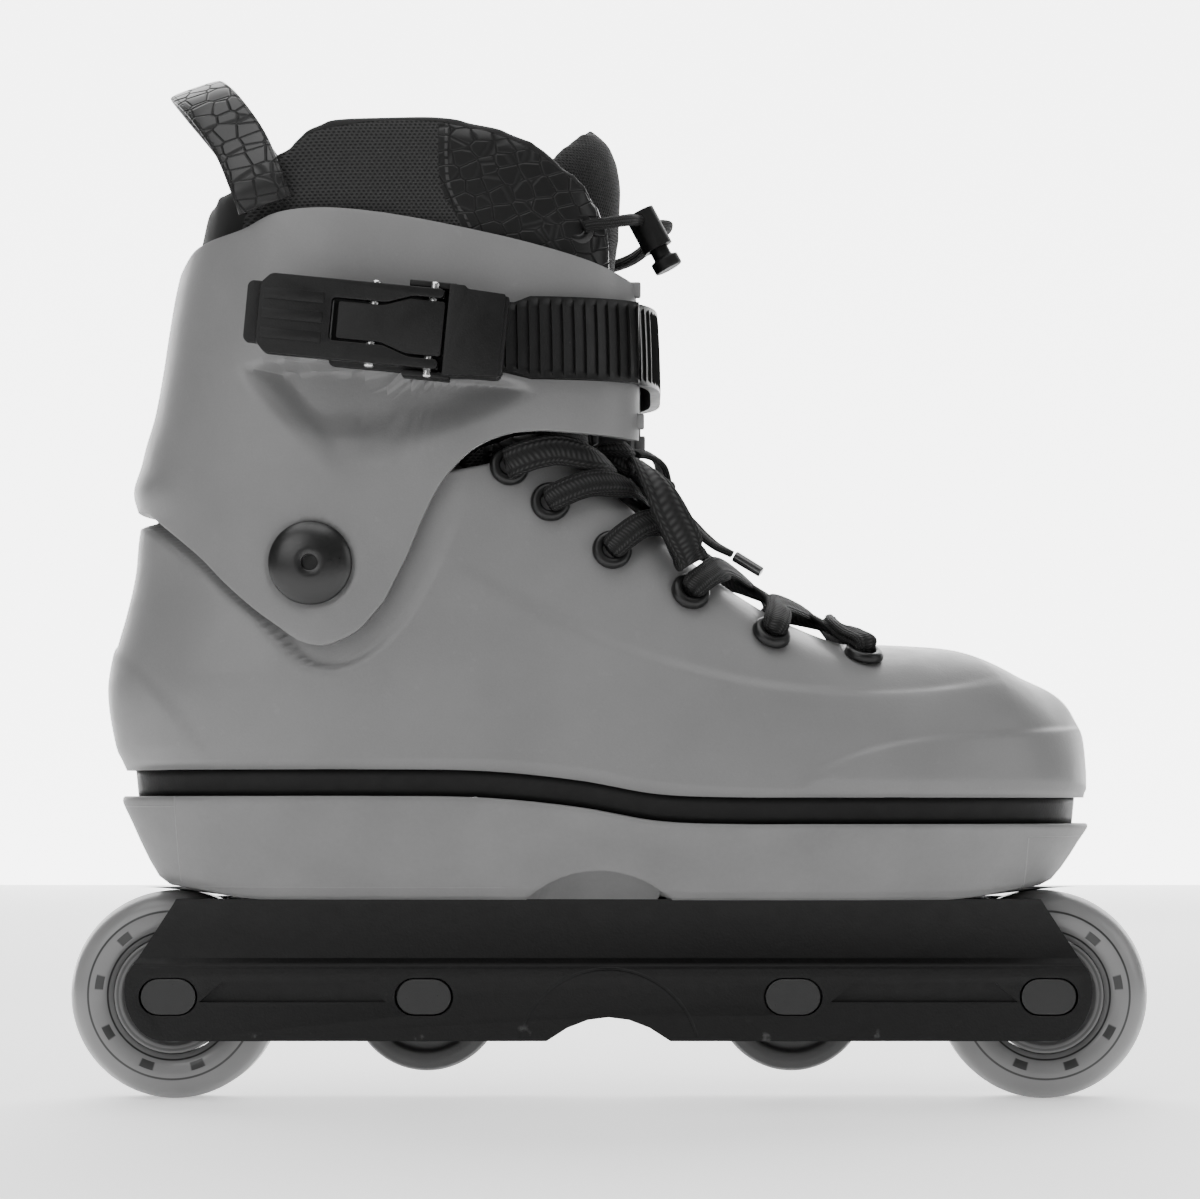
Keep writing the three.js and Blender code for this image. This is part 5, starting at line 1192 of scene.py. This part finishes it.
last_hole = len(eyelet_places) - 1
lay(lace_start(-1, 0, 2), lace_start(1, 0, 2))
for k in range(last_hole):
    lay(lace_start(-1, k, 0), lace_start(1, k + 1, 0))
    lay(lace_start(1, k, 1), lace_start(-1, k + 1, 1))
knot = Vector((0.5, -8, 182.5))
for side in (-1, 1):
    stripe(lace_start(side, last_hole, 2) + [(knot, lace_out)], 9, (0.4, 0.35))
for spin, radius, tilt in ((0, 4.9, 0.15), (70, 4.4, 0.6), (125, 4.6, -0.5)):
    turn = Matrix.Rotation(radians(spin), 3, lace_out) @ Matrix.Rotation(tilt, 3, "Y")
    wrap = [turn @ Vector((cos(2 * pi * k / 9) * 0.9, sin(2 * pi * k / 9), 0.12 * k)) for k in range(10)]
    stripe([(knot + w * radius, w) for w in wrap], 5.4, (0, 0), 70)
strands = piece("lacing", lacing, braid, "boot")
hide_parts("lace")

outer_loop = [
    (8, -17.6, 182.6), (10.4, -25.6, 179.8), (14.4, -34.8, 173.4), (18.2, -41, 165), (21.6, -43.6, 158),
    (23, -42.5, 153.8), (23.4, -39.6, 152.6), (22.4, -37.2, 154.6), (20.6, -36.6, 159.5), (17, -34.6, 166.4),
    (14, -28, 173.2), (10.4, -20.8, 176.8), (7.8, -16.4, 178),
]
outer_loop_faces = [
    (0.5, -0.5, 0.7), (0.5, -0.6, 0.6), (0.4, -0.8, 0.5), (0.2, -0.95, 0.2), (0.3, -0.95, 0),
    (0.8, -0.5, -0.4), (0.4, 0.2, -0.9), (-0.3, 0.9, -0.3), (-0.2, 0.95, -0.1), (-0.4, 0.8, -0.5),
    (-0.5, 0.6, -0.6), (-0.5, 0.5, -0.7), (-0.5, 0.5, -0.7),
]
inner_loop = [
    (7.4, -4, 186), (10.2, 1, 186.4), (13.6, 8, 185.4), (15.6, 17, 182), (16, 27, 175.6), (16.4, 35, 169),
    (16.4, 41.4, 163), (14.4, 43.6, 160.6), (12.4, 42, 163.4), (11.4, 37.6, 170), (9.4, 30, 176.4),
    (6.8, 19, 181.6), (5, 8, 184.4), (4.6, 0.6, 186.4),
]
inner_loop_faces = [
    (0.5, 0.1, 0.85), (0.6, 0.2, 0.8), (0.7, 0.4, 0.6), (0.8, 0.4, 0.4), (0.7, 0.6, 0.4), (0.5, 0.8, 0.2),
    (0.4, 0.9, -0.2), (0, 0.4, -0.9), (-0.4, -0.9, -0.2), (-0.5, -0.8, -0.2), (-0.7, -0.6, -0.4),
    (-0.8, -0.4, -0.4), (-0.7, -0.2, -0.7), (-0.6, 0, -0.8),
]
outer_end = [
    (8.7, -11, 180), (13.4, -13, 175.4), (18, -16, 170.4), (22.6, -20, 165.6), (26.6, -23, 161.2),
    (30.2, -25, 158), (35, -26, 155.4),
]
inner_end = [
    (7, -5.1, 180.8), (8.6, 1, 179), (10.6, 7.6, 177.6), (14, 11, 176.8), (16.4, 8, 177.4),
    (16.6, 2.4, 178.2), (15.4, -2.6, 178.6),
]

def free_lace(name, route, faces, width, pinch, node):
    points, looks = [Vector(p) for p in route], [Vector(f) for f in faces]
    lace = piece(name, strip(points, looks, width, lace_thick, 130, 36, 0.12, pinch), braid, "boot")
    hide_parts(node)
    path = [spline(points, k / 60) * mm for k in range(61)]
    tuple(path[0])
    [tuple(p) for p in path]
    return lace


tip_plastic = Finish("clear_black_tip", 0.02, 0.12, coat=0.6)
tip_plastic.feed("Roughness", 0.1 + 0.15 * tip_plastic.noise(0.002, 3.0))
tip_plastic.relief(tip_plastic.noise(0.0008, 3.0), 0.00005)
tips = {
    side: moulded("aglet_" + side, tip_plastic, "boot", 0.3, 40)
    for side in ("outer", "inner")
}
free_lace("bow_loop_outer", outer_loop, outer_loop_faces, 10, (0.5, 0.5), "lace_loop_outer")
free_lace("bow_loop_inner", inner_loop, inner_loop_faces, 8, (0.5, 0.5), "lace_loop_inner")
free_lace("lace_end_outer_visual", outer_end, [(0.4, -0.3, 0.9)] * 7, 5.6, (0.2, 0.5),
          "lace_end_outer")
free_lace("lace_end_inner_visual", inner_end, [(0.3, 0, 0.95)] * 7, 5, (0.2, 0.5),
          "lace_end_inner")

# ---------------------------------------------------------------- liner's drawcord
# A round braided cord from a grommet on each side of the collar, through a spring lock in front.
lock_barrel = moulded("cord_lock_barrel", plain_nylon, "cuff", 0.5, 30, 3)
lock_plunger = moulded("cord_lock_plunger", plain_nylon, "cord_lock_plunger", 0.6, 30, 3)
drawcord_route = [Vector(p) for p in (
    (-6.5, -40, 245.6), (-2, -39, 246.6), (5.5, -31, 249), (7.6, -22, 250.6), (10.2, -16, 250.8),
    (13, -8.5, 251), (16, -2, 252.4), (16.6, 6, 253), (13, 14, 251.6), (10.4, 22, 249.4),
    (5.5, 31, 247.4), (-2, 39, 246.2), (-6.5, 40, 245.6),
)]
round_section = strip(drawcord_route, [Vector((0.2, 0, 1))] * 13, 3.2, 3.2, 220, 24)
drawcord = piece("drawcord_visual", round_section, braid, "cuff")
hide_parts("drawcord")
drawcord_path = [tuple(spline(drawcord_route, k / 80) * mm) for k in range(81)]
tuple(drawcord_path[0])
grommets = bmesh.new()
for side in (-1, 1):
    ring = turned(rounded([(2, -1), (2, 0.9), (3.4, 1.1), (5, 0.3), (5, -1)], 0.4, 2), 40)
    facing = Vector((0.25, side, 0.1)).normalized()
    turn = Vector((0, 1, 0)).rotation_difference(facing).to_matrix().to_4x4()
    place = Matrix.Translation(Vector((-8.6, side * 38.6, 245.5)) * mm)
    bmesh.ops.transform(ring, matrix=place @ turn, verts=ring.verts)
    data = bpy.data.meshes.new("grommet")
    ring.to_mesh(data)
    grommets.from_mesh(data)
    ring.free()
grommet_rings = piece("collar_grommets", grommets, eyelet_nylon, "cuff")
